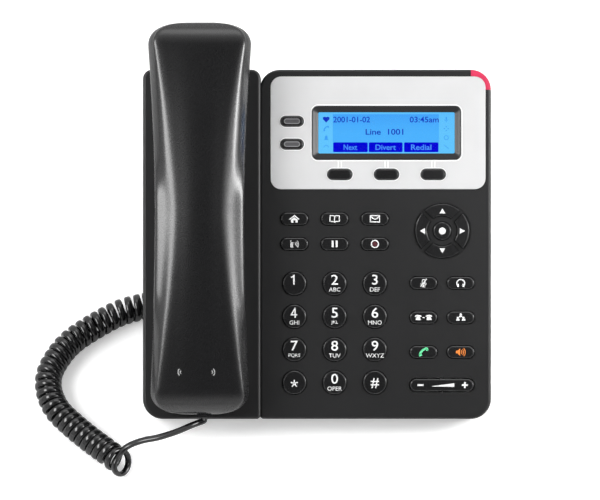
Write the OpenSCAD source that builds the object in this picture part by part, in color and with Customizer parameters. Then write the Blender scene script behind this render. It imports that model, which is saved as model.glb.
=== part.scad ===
/* [Base] */
// Width of the base
base_w = 184.5; // [183:0.5:192]
// Length of the base from its front edge to its back edge
base_l = 185.2; // [184:0.2:192]
// Thickness of the base under the key panel
base_t = 30; // [29:0.5:36]
// Radius of the base's outer corners
corner_r = 10.6; // [8:0.2:12]
// Radius of the column's two back corners
column_r = 4.8; // [3:0.2:6]
// Rounding of the base's upper and lower edges
edge_r = 1.4; // [0.8:0.1:1.8]
// Wall of both shells
wall = 2.2; // [2:0.1:2.4]
// Depth of the lower shell
lower_t = 14; // [13:0.5:15]
// Slope of the base on the desk, in degrees
tilt = 30; // [28:1:32]
// Height of the corner that is cut off along the front, so that the base has a flat land to stand on
heel_cut = 5; // [4:0.5:6]

/* [Handset column] */
// Width of the column that the handset lies in
column_w = 62.4; // [61:0.2:64]
// Rise of the column over the key panel
column_rise = 3; // [2.6:0.1:3.4]
// Depth of the two wells under the column's surface
well_depth = 9.3; // [9:0.1:9.6]
// Width of the two wells
well_w = 44; // [43:0.5:45]
// Distance of the ear well's centre from the front edge
ear_v = 158; // [157:0.5:159]
// Length of the ear well
ear_well_l = 40; // [39:0.5:41]
// Distance of the mouth well's centre from the front edge
mouth_v = 24; // [23.5:0.5:24.5]
// Length of the mouth well
mouth_well_l = 36; // [35:0.5:37]
// Distance of the loudspeaker's centre from the front edge
speaker_v = 93; // [91:0.5:95]
// Diameter of the loudspeaker
speaker_d = 40; // [36:1:42]

/* [Handset] */
// Length of the handset
handset_l = 207.3; // [205:0.1:209]
// Distance of the handset's mouth end from the base's front edge
handset_v = 2.6; // [2.4:0.1:3]
// Width of the handset at its ear end
ear_w = 56.4; // [54:0.2:57]
// Width of the handset at its grip
grip_w = 47.2; // [46:0.2:49]
// Width of the handset at its mouth end
mouth_w = 53; // [51:0.2:54]
// Thickness of the handset's grip
grip_t = 16; // [15:0.5:18]
// Height of the grip's inner face over the key panel
grip_rise = 15; // [14:0.5:16]
// Width of the handset's two bosses
boss_w = 40; // [38:0.5:40]
// Length of the boss round the earpiece
ear_boss_l = 36; // [34:0.5:36]
// Length of the boss round the microphone
mouth_boss_l = 32; // [30:0.5:32]
// Wall of the handset's shells
handset_wall = 1.9; // [1.7:0.1:2.1]

/* [Face plate and display] */
// Length of the face plate
plate_l = 59.8; // [59:0.2:61]
// Thickness of the face plate
plate_t = 1.2; // [1:0.1:1.4]
// Height that the face plate stands over the key panel
plate_proud = 0.4; // [0.2:0.1:0.6]
// Corner radius of the face plate
plate_r = 5.8; // [5:0.2:7]
// Width of the display's frame
frame_w = 79.2; // [78:0.2:80]
// Length of the display's frame
frame_l = 28.8; // [28:0.2:30]
// Width of the visible display
display_w = 72; // [70:0.5:73]
// Length of the visible display
display_l = 22.2; // [21.6:0.2:23]

/* [Keys] */
// Diameter of the dial keys
dial_d = 12.7; // [12:0.1:13.4]
// Sideways pitch of the dial keys
dial_pitch_u = 21.35; // [20.8:0.05:21.8]
// Pitch of the dial keys' rows
dial_pitch_v = 17.5; // [16.8:0.1:18]
// Width of the six keys over the dial
upper_key_w = 14.7; // [14:0.1:15.4]
// Length of the six keys over the dial
upper_key_l = 6.75; // [6.2:0.05:7.2]
// Pitch of the rows of those keys
upper_pitch_v = 13.35; // [12.8:0.05:13.6]
// Width of the six call keys on the right
call_key_w = 14.6; // [14:0.1:15.4]
// Length of the call keys
call_key_l = 6.6; // [6:0.1:7.2]
// Sideways pitch of the call keys
call_pitch_u = 19.7; // [19.2:0.1:20]
// Pitch of the call keys' rows
call_pitch_v = 18.3; // [17.6:0.1:18.6]
// Width of the soft keys under the display
soft_key_w = 12.9; // [12.2:0.1:13.6]
// Length of the soft keys
soft_key_l = 5.6; // [5.2:0.1:6]
// Sideways pitch of the soft keys
soft_pitch_u = 24.75; // [24:0.05:25]
// Width of the two line keys
line_key_w = 12; // [11.4:0.1:12.4]
// Length of the line keys
line_key_l = 5.3; // [5:0.1:5.8]
// Pitch of the line keys
line_pitch_v = 12.15; // [11.6:0.05:12.6]
// Outer radius of the ring of arrow keys
nav_r = 14.4; // [14:0.1:14.8]
// Inner radius of the ring of arrow keys
nav_inner_r = 8; // [7.8:0.1:8.4]
// Width of the slits between the arrow keys
nav_slit = 2.4; // [2.2:0.1:3]
// Radius of the centre key
ok_r = 4.85; // [4.6:0.05:5]
// Length of the volume rocker
rocker_w = 34; // [32:0.5:35]
// Width of the volume rocker
rocker_l = 6.6; // [6.2:0.1:7]
// Height of a key over the surface around it
key_rise = 1.4; // [1.2:0.1:1.6]
// Travel of a key
key_travel = 1.2; // [1:0.1:1.3]

/* [Clearances] */
// Gap between a key and its hole
key_gap = 0.3; // [0.25:0.05:0.35]
// Gap between a piece that is fixed and its seat
seat = 0.1; // [0.05:0.05:0.15]
// Gap between pieces that move apart
lift_gap = 0.3; // [0.25:0.05:0.35]
// Radial clearance of the rocker's axle
axle_gap = 0.05; // [0.03:0.01:0.08]

/* [Stand] */
// Distance of the stand's front edge from the base's front edge
stand_v = 118; // [116:0.5:120]
// Length of the stand's flange
stand_l = 42; // [40:0.5:44]
// Width of the stand
stand_w = 104; // [96:1:110]
// Thickness of the stand's walls
stand_t = 3; // [2.6:0.1:3.4]
// Width of the window for the cables
window_w = 62; // [56:1:66]
// Height of the window for the cables
window_h = 28; // [24:1:30]
// Depth of the stand's foot
stand_foot = 26; // [22:1:30]
// Thickness of the rubber feet
foot_t = 1.5; // [1.2:0.1:2]

/* [Hidden] */
$fn = 48;

charcoal = "#2c2d31";
key_black = "#17181b";
silver = "#c9cbd0";

// The face frame: u runs right, v from the front edge to the back, w out of the key panel.
// Its u is the model's X; the rest of it is turned by the tilt and set on the feet.
base_x = base_w / 2;
panel_u = -base_x + column_w;
panel_w = base_w - column_w;
column_u = -base_x + column_w / 2;
parting_w = -(base_t - lower_t);
floor_w = -base_t;

// Key positions, from the panel's left edge and the front edge
dial_u = panel_u + 39.2;
dial_v = 19.35;
upper_v = 92.8;
call_u = panel_u + 86.35;
call_v = 35.5;
nav_u = panel_u + 96.3;
nav_v = 99.7;
rocker_u = panel_u + 96.1;
rocker_v = 18;
plate_left = 5.1;
plate_right = 2.9;
plate_back = 3.6;
plate_w = panel_w - plate_left - plate_right;
plate_u = panel_u + plate_left + plate_w / 2;
plate_v = base_l - plate_back - plate_l / 2;
plate_floor = plate_proud - plate_t;
display_u = panel_u + 66.7;
display_v = plate_v;
line_u = panel_u + 16.6;
line_v = display_v;
soft_v = plate_v - 22;

// Key construction
flange_t = 1;
flange_w = 0.8;
key_round = 0.9;
stem_r = 1.6;
stem_l = 2;
key_foot = -wall - lift_gap - flange_t - stem_l;
dome_t = 0.4;
dome_top = key_foot - key_travel - lift_gap;
mat_t = 0.8;
mat_top = dome_top - dome_t;
board_t = 1.6;
board_top = mat_top - mat_t;
board_w = board_top - board_t;

// Handset: stations along v, and its surfaces' heights over the key panel
handset_u = column_u - 1;
handset_end = handset_v + handset_l;
grip_v = 109;
end_rise = 5;
boss_base = -well_depth + column_rise + lift_gap;
end_drop = 6;
end_steps = [0.15, 0.6, 1.6, 3.2, 5.5, 8.5];
mid_count = 16;
end_reach = 13;
parting_share = 0.45;

// Handset plug and the jack that takes it
plug_w = 7.6;
plug_t = 6.2;
plug_l = 11.5;
plug_out = 1.4;
plug_gap = 0.3;
plug_u = handset_u + 2.4;
jack_u = -44;
jack_v = 56;
base_plug_out = 3;

// Cord
cord_d = 3.1;
coil_d = 14.6;
coil_z = coil_d / 2 + 0.05;
// The coil's middle line on the desk, from its open end to its end under the base
coil_route = [[-105.2, -101.3], [-111.6, -95.7], [-120.5, -88.3], [-129.7, -79.8], [-138.2, -70.3],
    [-142.6, -59.6], [-142.8, -49.2], [-138.6, -39], [-131.3, -29], [-119.2, -19.5],
    [-105.4, -11.1], [-92.3, -6.9], [-80, -4.1], [-68, -4.1], [-57, -6.5]];
// The tail from the handset's plug to the coil's open end
handset_tail = [[-59.6, -90.8, 35.1], [-59.9, -92, 34.5], [-62.5, -92.9, 34.1], [-67, -93.6, 31.8],
    [-74.5, -94.3, 26.6], [-84, -94.8, 21.4], [-93, -94.8, 17.6], [-101.6, -96.6, 14.6]];
// The tail from the plug under the base to the coil's hidden end
base_tail = [[-44, -19.1, 21.5], [-44, -17.5, 18.7], [-43, -14.1, 13.6], [-42, -10.6, 9.6],
    [-44.5, -8.2, 7.7], [-50.5, -7.9, 7.35], [-56.9, -6.5, 7.35]];

// Half-width of the handset at v, before its ends are rounded
function half_width(v) =
    v > grip_v
        ? grip_w / 2 + (ear_w - grip_w) / 2 * pow((v - grip_v) / (handset_end - grip_v), 1.7)
        : grip_w / 2 + (mouth_w - grip_w) / 2 * pow((grip_v - v) / (grip_v - handset_v), 1.7);
function smooth(t) = let (s = min(max(t, 0), 1)) s * s * (3 - 2 * s);
// Height of the inner face: low over the wells, high along the grip
function inner_w(v) = end_rise + (grip_rise - end_rise) * smooth((v - 42) / 26) * smooth((142 - v) / 26)
    + 3 * smooth((v - 186) / 20);
// Height of the back, which is gently arched from end to end
function back_w(v) = grip_rise + grip_t - end_drop * pow((v - grip_v) / (handset_l / 2), 2);
function part_w(v) = inner_w(v) + parting_share * (back_w(v) - inner_w(v));
// Share of the full width and thickness left at distance d from an end
function end_width(d) = d >= end_reach ? 1 : pow(1 - pow(1 - d / end_reach, 2.2), 0.31);
function end_height(d) = d >= end_reach ? 1 : pow(1 - pow(1 - d / end_reach, 2.2), 0.45);
// Half-width of the back's middle field, which narrows along the grip
function field(v) = half_width(v) * (0.585 + 0.33 * pow(abs(v - grip_v) / (handset_l / 2), 1.35));
function band(v) = half_width(v) * (0.82 + 0.12 * pow(abs(v - grip_v) / (handset_l / 2), 1.2));

stations = concat([for (d = end_steps) handset_end - d],
    [for (i = [mid_count:-1:0]) handset_v + end_reach + (handset_l - 2 * end_reach) * i / mid_count],
    [for (i = [len(end_steps) - 1:-1:0]) handset_v + end_steps[i]]);

// Heights and half-widths of the back over the parting line, and of the front under it
function back_half(v) = let (h = back_w(v) - part_w(v), hw = half_width(v), f = field(v), b = max(band(v), f + 0.8))
    [[hw, 0], [hw - 0.2, 0.25 * h], [hw - 0.9, 0.46 * h], [b, 0.6 * h], [f + 0.3 * (b - f), 0.88 * h],
        [f, 0.95 * h], [0.55 * f, 0.99 * h], [0, h]];
function front_half(v) = let (h = part_w(v) - inner_w(v), hw = half_width(v))
    [[hw, 0], [hw - 0.3, 0.4 * h], [hw - 1.6, 0.76 * h], [hw - 4.5, 0.97 * h], [0, h]];

// One ring of the handset at v, set in by a wall and then running past the parting line by its open_by.
// side is 1 over the parting line and -1 under it.
function ring_at(v, half, side, inset, open_by) = let (d = min(v - handset_v, handset_end - v),
        kx = end_width(d), kz = end_height(d), last = len(half) - 1,
        p = [for (q = half) [max(q[0] * kx - inset, 0), q[1] > 0 ? max(q[1] * kz - inset, 0.2 * q[1]) : -open_by]])
    concat([for (i = [0:last]) [side * p[i][0], v, part_w(v) + side * p[i][1]]],
        [for (i = [last - 1:-1:0]) [-side * p[i][0], v, part_w(v) + side * p[i][1]]]);
function back_ring(v, inset = 0, open_by = 0) = ring_at(v, back_half(v), 1, inset, open_by);
function front_ring(v, inset = 0, open_by = 0) = ring_at(v, front_half(v), -1, inset, open_by);

// Where the model's lowest and furthest points lie before it is centred over the origin
handset_rings = concat([for (v = stations) back_ring(v)], [for (v = stations) front_ring(v)]);
handset_y = [for (ring = handset_rings) for (p = ring) p[1] * cos(tilt) - p[2] * sin(tilt)];
base_back_y = base_l * cos(tilt) + (base_t - edge_r) * sin(tilt) + edge_r * (1 - cos(tilt));
front_y = min(handset_y);
back_y = max(max(handset_y), base_back_y);
y0 = -(front_y + back_y) / 2;
z0 = foot_t + base_t * cos(tilt) - heel_cut;

// A point of the face frame's v and w in the model's Y and Z
function desk(v, w) = [y0 + v * cos(tilt) - w * sin(tilt), z0 + v * sin(tilt) + w * cos(tilt)];

module face() {
    translate([0, y0, z0]) rotate([tilt, 0, 0]) children();
}

module at(u, v, w = 0) {
    translate([u, v, w]) children();
}

// Points of a quarter round, from the side at radius r up to the crown at height h
function round_edge(r, h, e) = [for (i = [0:4]) let (a = 22.5 * i) [r - e + e * cos(a), h - e + e * sin(a)]];
function backwards(list) = [for (i = [len(list) - 1:-1:0]) list[i]];
function flipped(list) = [for (p = backwards(list)) [-p[0], p[1]]];

// A bar with round ends and a rounded upper edge, w wide and l across
module pill(w, l, h, e) {
    half = concat([[0, 0], [l / 2, 0]], round_edge(l / 2, h, e), [[0, h]]);
    if (w > l) {
        for (side = [-1, 1]) at(side * (w - l) / 2, 0) rotate_extrude() polygon(half);
        at(-(w - l) / 2, 0) rotate([90, 0, 90]) linear_extrude(w - l)
            polygon(concat([[-l / 2, 0], [l / 2, 0]], round_edge(l / 2, h, e), flipped(round_edge(l / 2, h, e))));
    } else {
        rotate_extrude() polygon(half);
    }
}

// A plate from its lower left corner a to its upper right corner b, with a radius at each corner
// (front left, front right, back right, back left) and a rounded upper edge
module slab(a, b, r, h, e) {
    centres = [[a[0] + r[0], a[1] + r[0]], [b[0] - r[1], a[1] + r[1]],
        [b[0] - r[2], b[1] - r[2]], [a[0] + r[3], b[1] - r[3]]];
    for (i = [0:3]) at(centres[i][0], centres[i][1]) rotate_extrude()
        polygon(concat([[0, 0], [r[i], 0]], round_edge(r[i], h, e), [[0, h]]));
    for (step = [[0, h - e], [e, h]]) linear_extrude(step[1])
        polygon([[a[0] + r[0], a[1] + step[0]], [b[0] - r[1], a[1] + step[0]], [b[0] - step[0], a[1] + r[1]],
            [b[0] - step[0], b[1] - r[2]], [b[0] - r[2], b[1] - step[0]], [a[0] + r[3], b[1] - step[0]],
            [a[0] + step[0], b[1] - r[3]], [a[0] + step[0], a[1] + r[0]]]);
    for (side = [[centres[0], centres[1], a[1] + e], [centres[3], centres[2], b[1] - e]])
        translate([side[0][0], side[2], h - e]) rotate([90, 0, 90]) linear_extrude(side[1][0] - side[0][0])
            polygon(edge_disc(e));
    for (side = [[centres[0], centres[3], a[0] + e], [centres[1], centres[2], b[0] - e]])
        translate([side[2], side[1][1], h - e]) rotate([90, 0, 0]) linear_extrude(side[1][1] - side[0][1])
            polygon(edge_disc(e));
}
function edge_disc(e) = [for (i = [0:15]) [e * cos(22.5 * i), e * sin(22.5 * i)]];

// A plate with round corners and square edges
module block(a, b, r, h) {
    for (u = [a[0] + r, b[0] - r], v = [a[1] + r, b[1] - r]) at(u, v) cylinder(r = r, h = h);
    at(a[0] + r, a[1]) cube([b[0] - a[0] - 2 * r, b[1] - a[1], h]);
    at(a[0], a[1] + r) cube([b[0] - a[0], b[1] - a[1] - 2 * r, h]);
}

// The same, centred
module tile(w, l, r, h) {
    block([-w / 2, -l / 2], [w / 2, l / 2], r, h);
}

// The base's outer form from w = low up to the surfaces, set in by a wall all round and above
module upper_form(low, inset, e) {
    r = corner_r - inset;
    at(0, 0, low) slab([-base_x + inset, inset], [panel_u - inset, base_l - inset],
        [r, 2.2, column_r - min(inset, 2), column_r - min(inset, 2)], column_rise - inset - low, e);
    at(0, 0, low) slab([panel_u - 0.5 + inset, inset], [base_x - inset, base_l - inset],
        [2.2, r, r, r], -inset - low, e);
}

module lower_form(inset, e) {
    r = corner_r - inset;
    translate([0, 0, parting_w]) mirror([0, 0, 1]) {
        slab([-base_x + inset, inset], [panel_u - inset, base_l - inset],
            [r, 2.2, column_r - min(inset, 2), column_r - min(inset, 2)], lower_t - inset, e);
        slab([panel_u - 0.5 + inset, inset], [base_x - inset, base_l - inset],
            [2.2, r, r, r], lower_t - inset, e);
    }
}

// Everything in the model's frame that lies below height z
module under(z) {
    translate([-base_w, y0 - base_l, z - base_l]) cube([2 * base_w, 3 * base_l, base_l]);
}

// The passage between the column's and the panel's hollows, for the board's arm
module passage(low, high) {
    at(panel_u - wall - 3, jack_v - 12, low) cube([2 * wall + 6, 24, high - low]);
}

screws = [[-base_x + 8, 52], [-base_x + 8, 128], [base_x - 8, 10], [base_x - 9, base_l - 16]];
screw_r = 1.45;
screw_head_r = 2.9;
screw_post_r = 4.4;
screw_tip = -8;

module screw_posts(low, high, r) {
    for (s = screws) at(s[0], s[1], low) cylinder(r = r, h = high - low);
}

module wells(grow, low) {
    for (well = [[ear_v, ear_well_l], [mouth_v, mouth_well_l]])
        at(handset_u, well[0], low) tile(well_w + 2 * grow, well[1] + 2 * grow, 6 + grow, 2 * base_t);
}

light_w = 3.4;
light_depth = 7;
// The quarter ring that the message lamp shines through, at the panel's back right corner
module light_form(grow) {
    at(base_x - corner_r, base_l - corner_r) intersection() {
        translate([0, 0, -light_depth - grow]) rotate_extrude()
            polygon(concat([[corner_r - light_w - grow, 0], [corner_r + grow, 0]],
                round_edge(corner_r + grow, light_depth + 2 * grow, edge_r),
                [[corner_r - light_w - grow, light_depth + 2 * grow]]));
        translate([-grow, -grow, -light_depth - 2 * grow])
            cube([corner_r + 2 * grow, corner_r + 2 * grow, light_depth + 4 * grow]);
    }
}

module plate_recess() {
    at(plate_u, plate_v, plate_floor) tile(plate_w + 2 * seat, plate_l + 2 * seat, plate_r + seat, 4);
}

// Every oval and round key's centre, width and length
columns = [dial_u - dial_pitch_u, dial_u, dial_u + dial_pitch_u];
call_columns = [call_u, call_u + call_pitch_u];
soft_columns = [display_u - soft_pitch_u, display_u, display_u + soft_pitch_u];
dial_keys = [for (row = [0:3]) for (u = columns) [u, dial_v + row * dial_pitch_v, dial_d, dial_d]];
upper_keys = [for (row = [0:1]) for (u = columns)
    [u, upper_v + row * upper_pitch_v, upper_key_w, upper_key_l]];
call_keys = [for (row = [0:2]) for (u = call_columns)
    [u, call_v + row * call_pitch_v, call_key_w, call_key_l]];
soft_keys = [for (u = soft_columns) [u, soft_v, soft_key_w, soft_key_l]];
line_keys = [for (row = [0:1]) [line_u, line_v - 6 + row * line_pitch_v, line_key_w, line_key_l]];
panel_keys = concat(dial_keys, upper_keys, call_keys);
plate_keys = concat(soft_keys, line_keys);

module key_body(k, rise) {
    shoulder = -wall - lift_gap;
    at(k[0], k[1]) {
        at(0, 0, shoulder) pill(k[2], k[3], rise - shoulder, key_round);
        at(0, 0, shoulder - flange_t) pill(k[2] + 2 * flange_w, k[3] + 2 * flange_w, flange_t, 0.2);
        at(0, 0, key_foot) cylinder(r = stem_r, h = stem_l + 0.1);
    }
}

module key_hole(k) {
    at(k[0], k[1], -wall - 1) pill(k[2] + 2 * key_gap, k[3] + 2 * key_gap, 2 * wall, 0.01);
}

// One quarter of the ring of arrow keys, facing the back
module arrow(r_out, r_in, slit, h, e) {
    intersection() {
        rotate_extrude() polygon(concat([[r_in, 0], [r_out, 0]], round_edge(r_out, h, e),
            [for (p = backwards(round_edge(0, h, e))) [r_in - p[0], p[1]]]));
        translate([0, slit / sqrt(2), -0.5]) linear_extrude(h + 1)
            polygon([[0, 0], [2 * nav_r, 2 * nav_r], [-2 * nav_r, 2 * nav_r]]);
    }
}

arrow_turns = [0, 180, 90, 270];
module arrow_key(turn) {
    shoulder = -wall - lift_gap;
    at(nav_u, nav_v) rotate([0, 0, turn]) {
        at(0, 0, shoulder) arrow(nav_r, nav_inner_r, nav_slit, key_rise - shoulder, 0.7);
        at(0, 0, shoulder - flange_t) arrow(nav_r + flange_w, nav_inner_r - flange_w, nav_slit - 1.6,
            flange_t, 0.1);
        at(0, (nav_r + nav_inner_r) / 2, key_foot) cylinder(r = stem_r, h = stem_l + 0.1);
    }
}

axle_r = 1.2;
axle_w = -4;
lug_t = 2;
lug_v = rocker_l / 2 + 0.9;
axle_l = 2 * (lug_v + lug_t) - 0.4;
rocker_gap = 0.5;
nav_dish_depth = 0.35;
nav_dish_rim = 0.9;
frame_r = 3.4;
grille_pitch = 3.4;
grille_slot_w = 1.5;
hook_w = 12;
hook_l = 6;
tab_w = 14;
tab_t = 3;

module top_shell() color(charcoal) face() difference() {
    union() {
        difference() {
            upper_form(parting_w, 0, edge_r);
            difference() {
                union() {
                    upper_form(parting_w - 1, wall, 0.2);
                    passage(parting_w - 1, -wall);
                }
                wells(wall, column_rise - well_depth - wall);
                screw_posts(parting_w, column_rise, screw_post_r);
                at(handset_u, tab_v, tab_foot - wall) translate([-9, -3.5, 0]) cube([18, 7, 9]);
                for (side = [-1, 1]) at(rocker_u, rocker_v + side * (lug_v + lug_t / 2), axle_w - axle_r - 1)
                    translate([-3, -lug_t / 2, 0]) cube([6, lug_t, 6]);
            }
        }
        at(display_u, display_v, plate_floor - 0.2) slab([-frame_w / 2, -frame_l / 2],
            [frame_w / 2, frame_l / 2], [frame_r, frame_r, frame_r, frame_r], plate_t + 0.4, 0.5);
    }
    wells(0, column_rise - well_depth);
    for (k = concat(panel_keys, plate_keys)) key_hole(k);
    // Shallow dish that the arrow keys stand in
    at(nav_u, nav_v, -nav_dish_depth) cylinder(r = nav_r + nav_dish_rim, h = wall);
    at(nav_u, nav_v, -wall - 1) {
        cylinder(r = ok_r + key_gap, h = 2 * wall);
        for (turn = arrow_turns) rotate([0, 0, turn])
            arrow(nav_r + key_gap, nav_inner_r - key_gap, nav_slit - 2 * key_gap, 2 * wall, 0.01);
    }
    at(rocker_u, rocker_v, -wall - 1) pill(rocker_w + 2 * rocker_gap, rocker_l + 2 * rocker_gap, 2 * wall, 0.01);
    at(rocker_u, rocker_v, axle_w) rotate([90, 0, 0]) cylinder(r = axle_r + axle_gap, h = axle_l + 1, center = true);
    // Recess for the face plate, round the display's frame
    difference() {
        plate_recess();
        at(display_u, display_v, -5) slab([-frame_w / 2, -frame_l / 2], [frame_w / 2, frame_l / 2],
            [frame_r, frame_r, frame_r, frame_r], plate_floor + plate_t + 5.2, 0.5);
    }
    // Sloped opening down to the display
    at(display_u, display_v) polyhedron(
        points = [for (s = [[display_w, display_l, -wall - 1], [frame_w - 4, frame_l - 4, plate_proud + 1]])
            for (c = [[-1, -1], [1, -1], [1, 1], [-1, 1]]) [c[0] * s[0] / 2, c[1] * s[1] / 2, s[2]]],
        faces = [[0, 1, 2, 3], [7, 6, 5, 4], [0, 4, 5, 1], [1, 5, 6, 2], [2, 6, 7, 3], [3, 7, 4, 0]]);
    light_form(seat);
    // Slot for the hook switch and pocket for the hanger tab
    at(handset_u, hook_v, -base_t) translate([-hook_w / 2 - lift_gap, -hook_l / 2 - lift_gap, 0])
        cube([hook_w + 2 * lift_gap, hook_l + 2 * lift_gap, base_t]);
    at(handset_u, tab_v, tab_foot) translate([-tab_w / 2 - seat, -tab_t / 2 - seat, 0])
        cube([tab_w + 2 * seat, tab_t + 2 * seat, 9]);
    // Grille under the handset's grip
    for (i = [-4:4]) at(handset_u, speaker_v + grille_pitch * i, -wall)
        pill(2 * sqrt(pow(speaker_d / 2 - 4, 2) - pow(grille_pitch * i, 2)), grille_slot_w, 8, 0.01);
    for (s = screws) at(s[0], s[1], parting_w - 1) cylinder(r = screw_r + 0.05, h = screw_tip + 1 - parting_w);
}
hook_v = ear_v - 12;
tab_v = ear_v - ear_well_l / 2 - 4.5;
tab_foot = -3;

lan_u = 12;
pc_u = 32;
sockets_v = 86;
headset_u = -12;
dc_u = 54;
// Each socket: place, outer width and length, opening's width and length
sockets = [[lan_u, sockets_v, 15.6, 13.4, 11.8, 8.2], [pc_u, sockets_v, 15.6, 13.4, 11.8, 8.2],
    [headset_u, sockets_v, 12, 11, plug_w + 2 * plug_gap, plug_t + 2 * plug_gap],
    [jack_u, jack_v, 12, 11, plug_w + 2 * plug_gap, plug_t + 2 * plug_gap]];
socket_depth = 13;
dc_w = 10;
dc_bore_r = 3.2;
dc_pin_r = 1;
dc_depth = 10;
mouth_w_level = floor_w + 0.8;
keyhole_v = [29, 112];
keyhole_u = -12;
hooks = [[-38, 8], [38, 8], [-38, 32], [38, 32]];
board_post_r = 2.6;
board_posts = [[panel_u + 10, 14], [dial_u + 28, 30], [base_x - 12, 60], [base_x - 12, 128],
    [panel_u + 12, 150], [panel_u + 60, 160]];

module bottom_shell() color(charcoal) difference() {
    face() lower_form(0, edge_r + 0.6);
    difference() {
        face() difference() {
            union() {
                translate([0, 0, 0.05]) lower_form(wall, 0.2);
                passage(floor_w + wall, parting_w + 1);
            }
            screw_posts(floor_w, parting_w, screw_post_r);
            // Posts that carry the board
            for (p = board_posts) at(p[0], p[1], floor_w) cylinder(r = board_post_r, h = base_t);
        }
        under(foot_t + wall);
    }
    under(foot_t);
    face() {
        for (p = board_posts) at(p[0], p[1], board_w - 0.05) cylinder(r = board_post_r + 0.4, h = base_t);
        translate([-base_w, -5, parting_w - 0.05]) cube([2 * base_w, base_l + 10, base_t]);
        for (s = screws) at(s[0], s[1], floor_w - 1) {
            cylinder(r = screw_r + 0.25, h = base_t);
            cylinder(r = screw_head_r + 0.3, h = 5);
        }
        for (s = sockets) at(s[0], s[1], floor_w - 1)
            translate([-s[2] / 2 - seat, -s[3] / 2 - seat, 0]) cube([s[2] + 2 * seat, s[3] + 2 * seat, wall + 2]);
        at(dc_u, sockets_v, floor_w - 1) translate([-dc_w / 2 - seat, -dc_w / 2 - seat, 0])
            cube([dc_w + 2 * seat, dc_w + 2 * seat, wall + 2]);
        // Keyholes for a wall plate
        for (v = keyhole_v) at(keyhole_u, v, floor_w - 1) {
            cylinder(r = 4.5, h = wall + 2);
            translate([-2.25, 0, 0]) cube([4.5, 9, wall + 2]);
            at(0, 9) cylinder(r = 2.25, h = wall + 2);
        }
        for (h = hooks) at(h[0], stand_v + h[1], floor_w - 1) translate([-4.2, -2.2, 0]) cube([8.4, 4.4, wall + 2]);
    }
}

module face_plate() color(silver) face() difference() {
    at(plate_u, plate_v, plate_floor + 0.02) slab([-plate_w / 2, -plate_l / 2], [plate_w / 2, plate_l / 2],
        [plate_r, plate_r, plate_r, plate_r], plate_t, 0.4);
    at(display_u, display_v, -5) slab([-frame_w / 2 - seat, -frame_l / 2 - seat],
        [frame_w / 2 + seat, frame_l / 2 + seat], [for (i = [0:3]) frame_r + seat], 10, 0.2);
    for (k = plate_keys) key_hole(k);
}

module screen_lens() color("#1d4f9e") face() at(display_u, display_v, -wall - seat - 1.4)
    tile(display_w + 4, display_l + 4, 1.5, 1.4);

module lcd_module() color("#3a3d42") face() at(display_u, display_v, board_top + seat)
    tile(display_w + 7, display_l + 9, 1, -wall - 2 * seat - 1.45 - board_top - seat);

module message_light() color("#c82350") face() difference() {
    light_form(-0.02);
    plate_recess();
}

module main_board() color("#1f6b3a") face() at(0, 0, board_w) difference() {
    union() {
        block([panel_u + 4, 6], [base_x - 4, base_l - 8], 2, board_t);
        block([jack_u - 9, jack_v - 9], [panel_u + 10, jack_v + 9], 1, board_t);
    }
    for (s = screws) at(s[0], s[1], -1) translate([-screw_post_r - 0.6, -screw_post_r - 0.6, 0])
        cube([6 * screw_post_r, 2 * screw_post_r + 1.2, 4]);
}

module keypad_mat() color("#8f9398") face() difference() {
    union() {
        block_w = base_x - 6;
        at(0, 0, board_top + 0.02) block([panel_u + 6, 8], [block_w, soft_v + 5], 2, mat_t);
        at(0, 0, board_top + 0.02) block([panel_u + 6, soft_v], [line_u + 8, line_v + 12], 2, mat_t);
        for (k = concat(panel_keys, plate_keys)) at(k[0], k[1], mat_top) cylinder(r = 2.2, h = dome_t);
        at(nav_u, nav_v, mat_top) cylinder(r = 2.2, h = dome_t);
        for (turn = arrow_turns) at(nav_u, nav_v, mat_top) rotate([0, 0, turn])
            at(0, (nav_r + nav_inner_r) / 2) cylinder(r = 2.2, h = dome_t);
    }
    for (s = screws) at(s[0], s[1], board_top - 1) cylinder(r = screw_post_r + 0.8, h = 4);
}

module loudspeaker() color("#2a2a2a") face() at(handset_u, speaker_v, column_rise - wall - seat)
    rotate([180, 0, 0]) rotate_extrude() polygon([[0, 0.6], [speaker_d / 2 - 3, 0.6], [speaker_d / 2 - 3, 0],
        [speaker_d / 2, 0], [speaker_d / 2, 2], [speaker_d / 4 + 2, 6], [speaker_d / 4, 11], [0, 11]]);

module modular_jacks() color("#b9bcc0") face() for (s = sockets) at(s[0], s[1], mouth_w_level) difference() {
    translate([-s[2] / 2, -s[3] / 2, 0]) cube([s[2], s[3], board_w - seat - mouth_w_level]);
    translate([-s[4] / 2, -s[5] / 2, -1]) cube([s[4], s[5], socket_depth + 1]);
}

module power_jack() color("#202020") face() at(dc_u, sockets_v, mouth_w_level) {
    difference() {
        translate([-dc_w / 2, -dc_w / 2, 0]) cube([dc_w, dc_w, board_w - seat - mouth_w_level]);
        at(0, 0, -1) cylinder(r = dc_bore_r, h = dc_depth + 1);
    }
    at(0, 0, 1.5) cylinder(r = dc_pin_r, h = dc_depth);
}

module housing_screws() color("#b0b3b8") face() for (s = screws) at(s[0], s[1]) {
    at(0, 0, floor_w + 4 - 2.4) difference() {
        cylinder(r = screw_head_r, h = 2.4);
        translate([-0.5, -2, -1]) cube([1, 4, 2]);
        translate([-2, -0.5, -1]) cube([4, 1, 2]);
    }
    at(0, 0, floor_w + 4) cylinder(r = screw_r, h = screw_tip - 0.5 - floor_w - 4);
}

// The stand: a flange under the base, a wall with the cable window, two side webs and a foot
stand_top = floor_w - seat;
flange_front = desk(stand_v, stand_top);
flange_back = desk(stand_v + stand_l, stand_top);
flange_low = desk(stand_v, stand_top - stand_t);
stand_y = flange_back[0];
window_z = foot_t + stand_t + 12;
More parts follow.
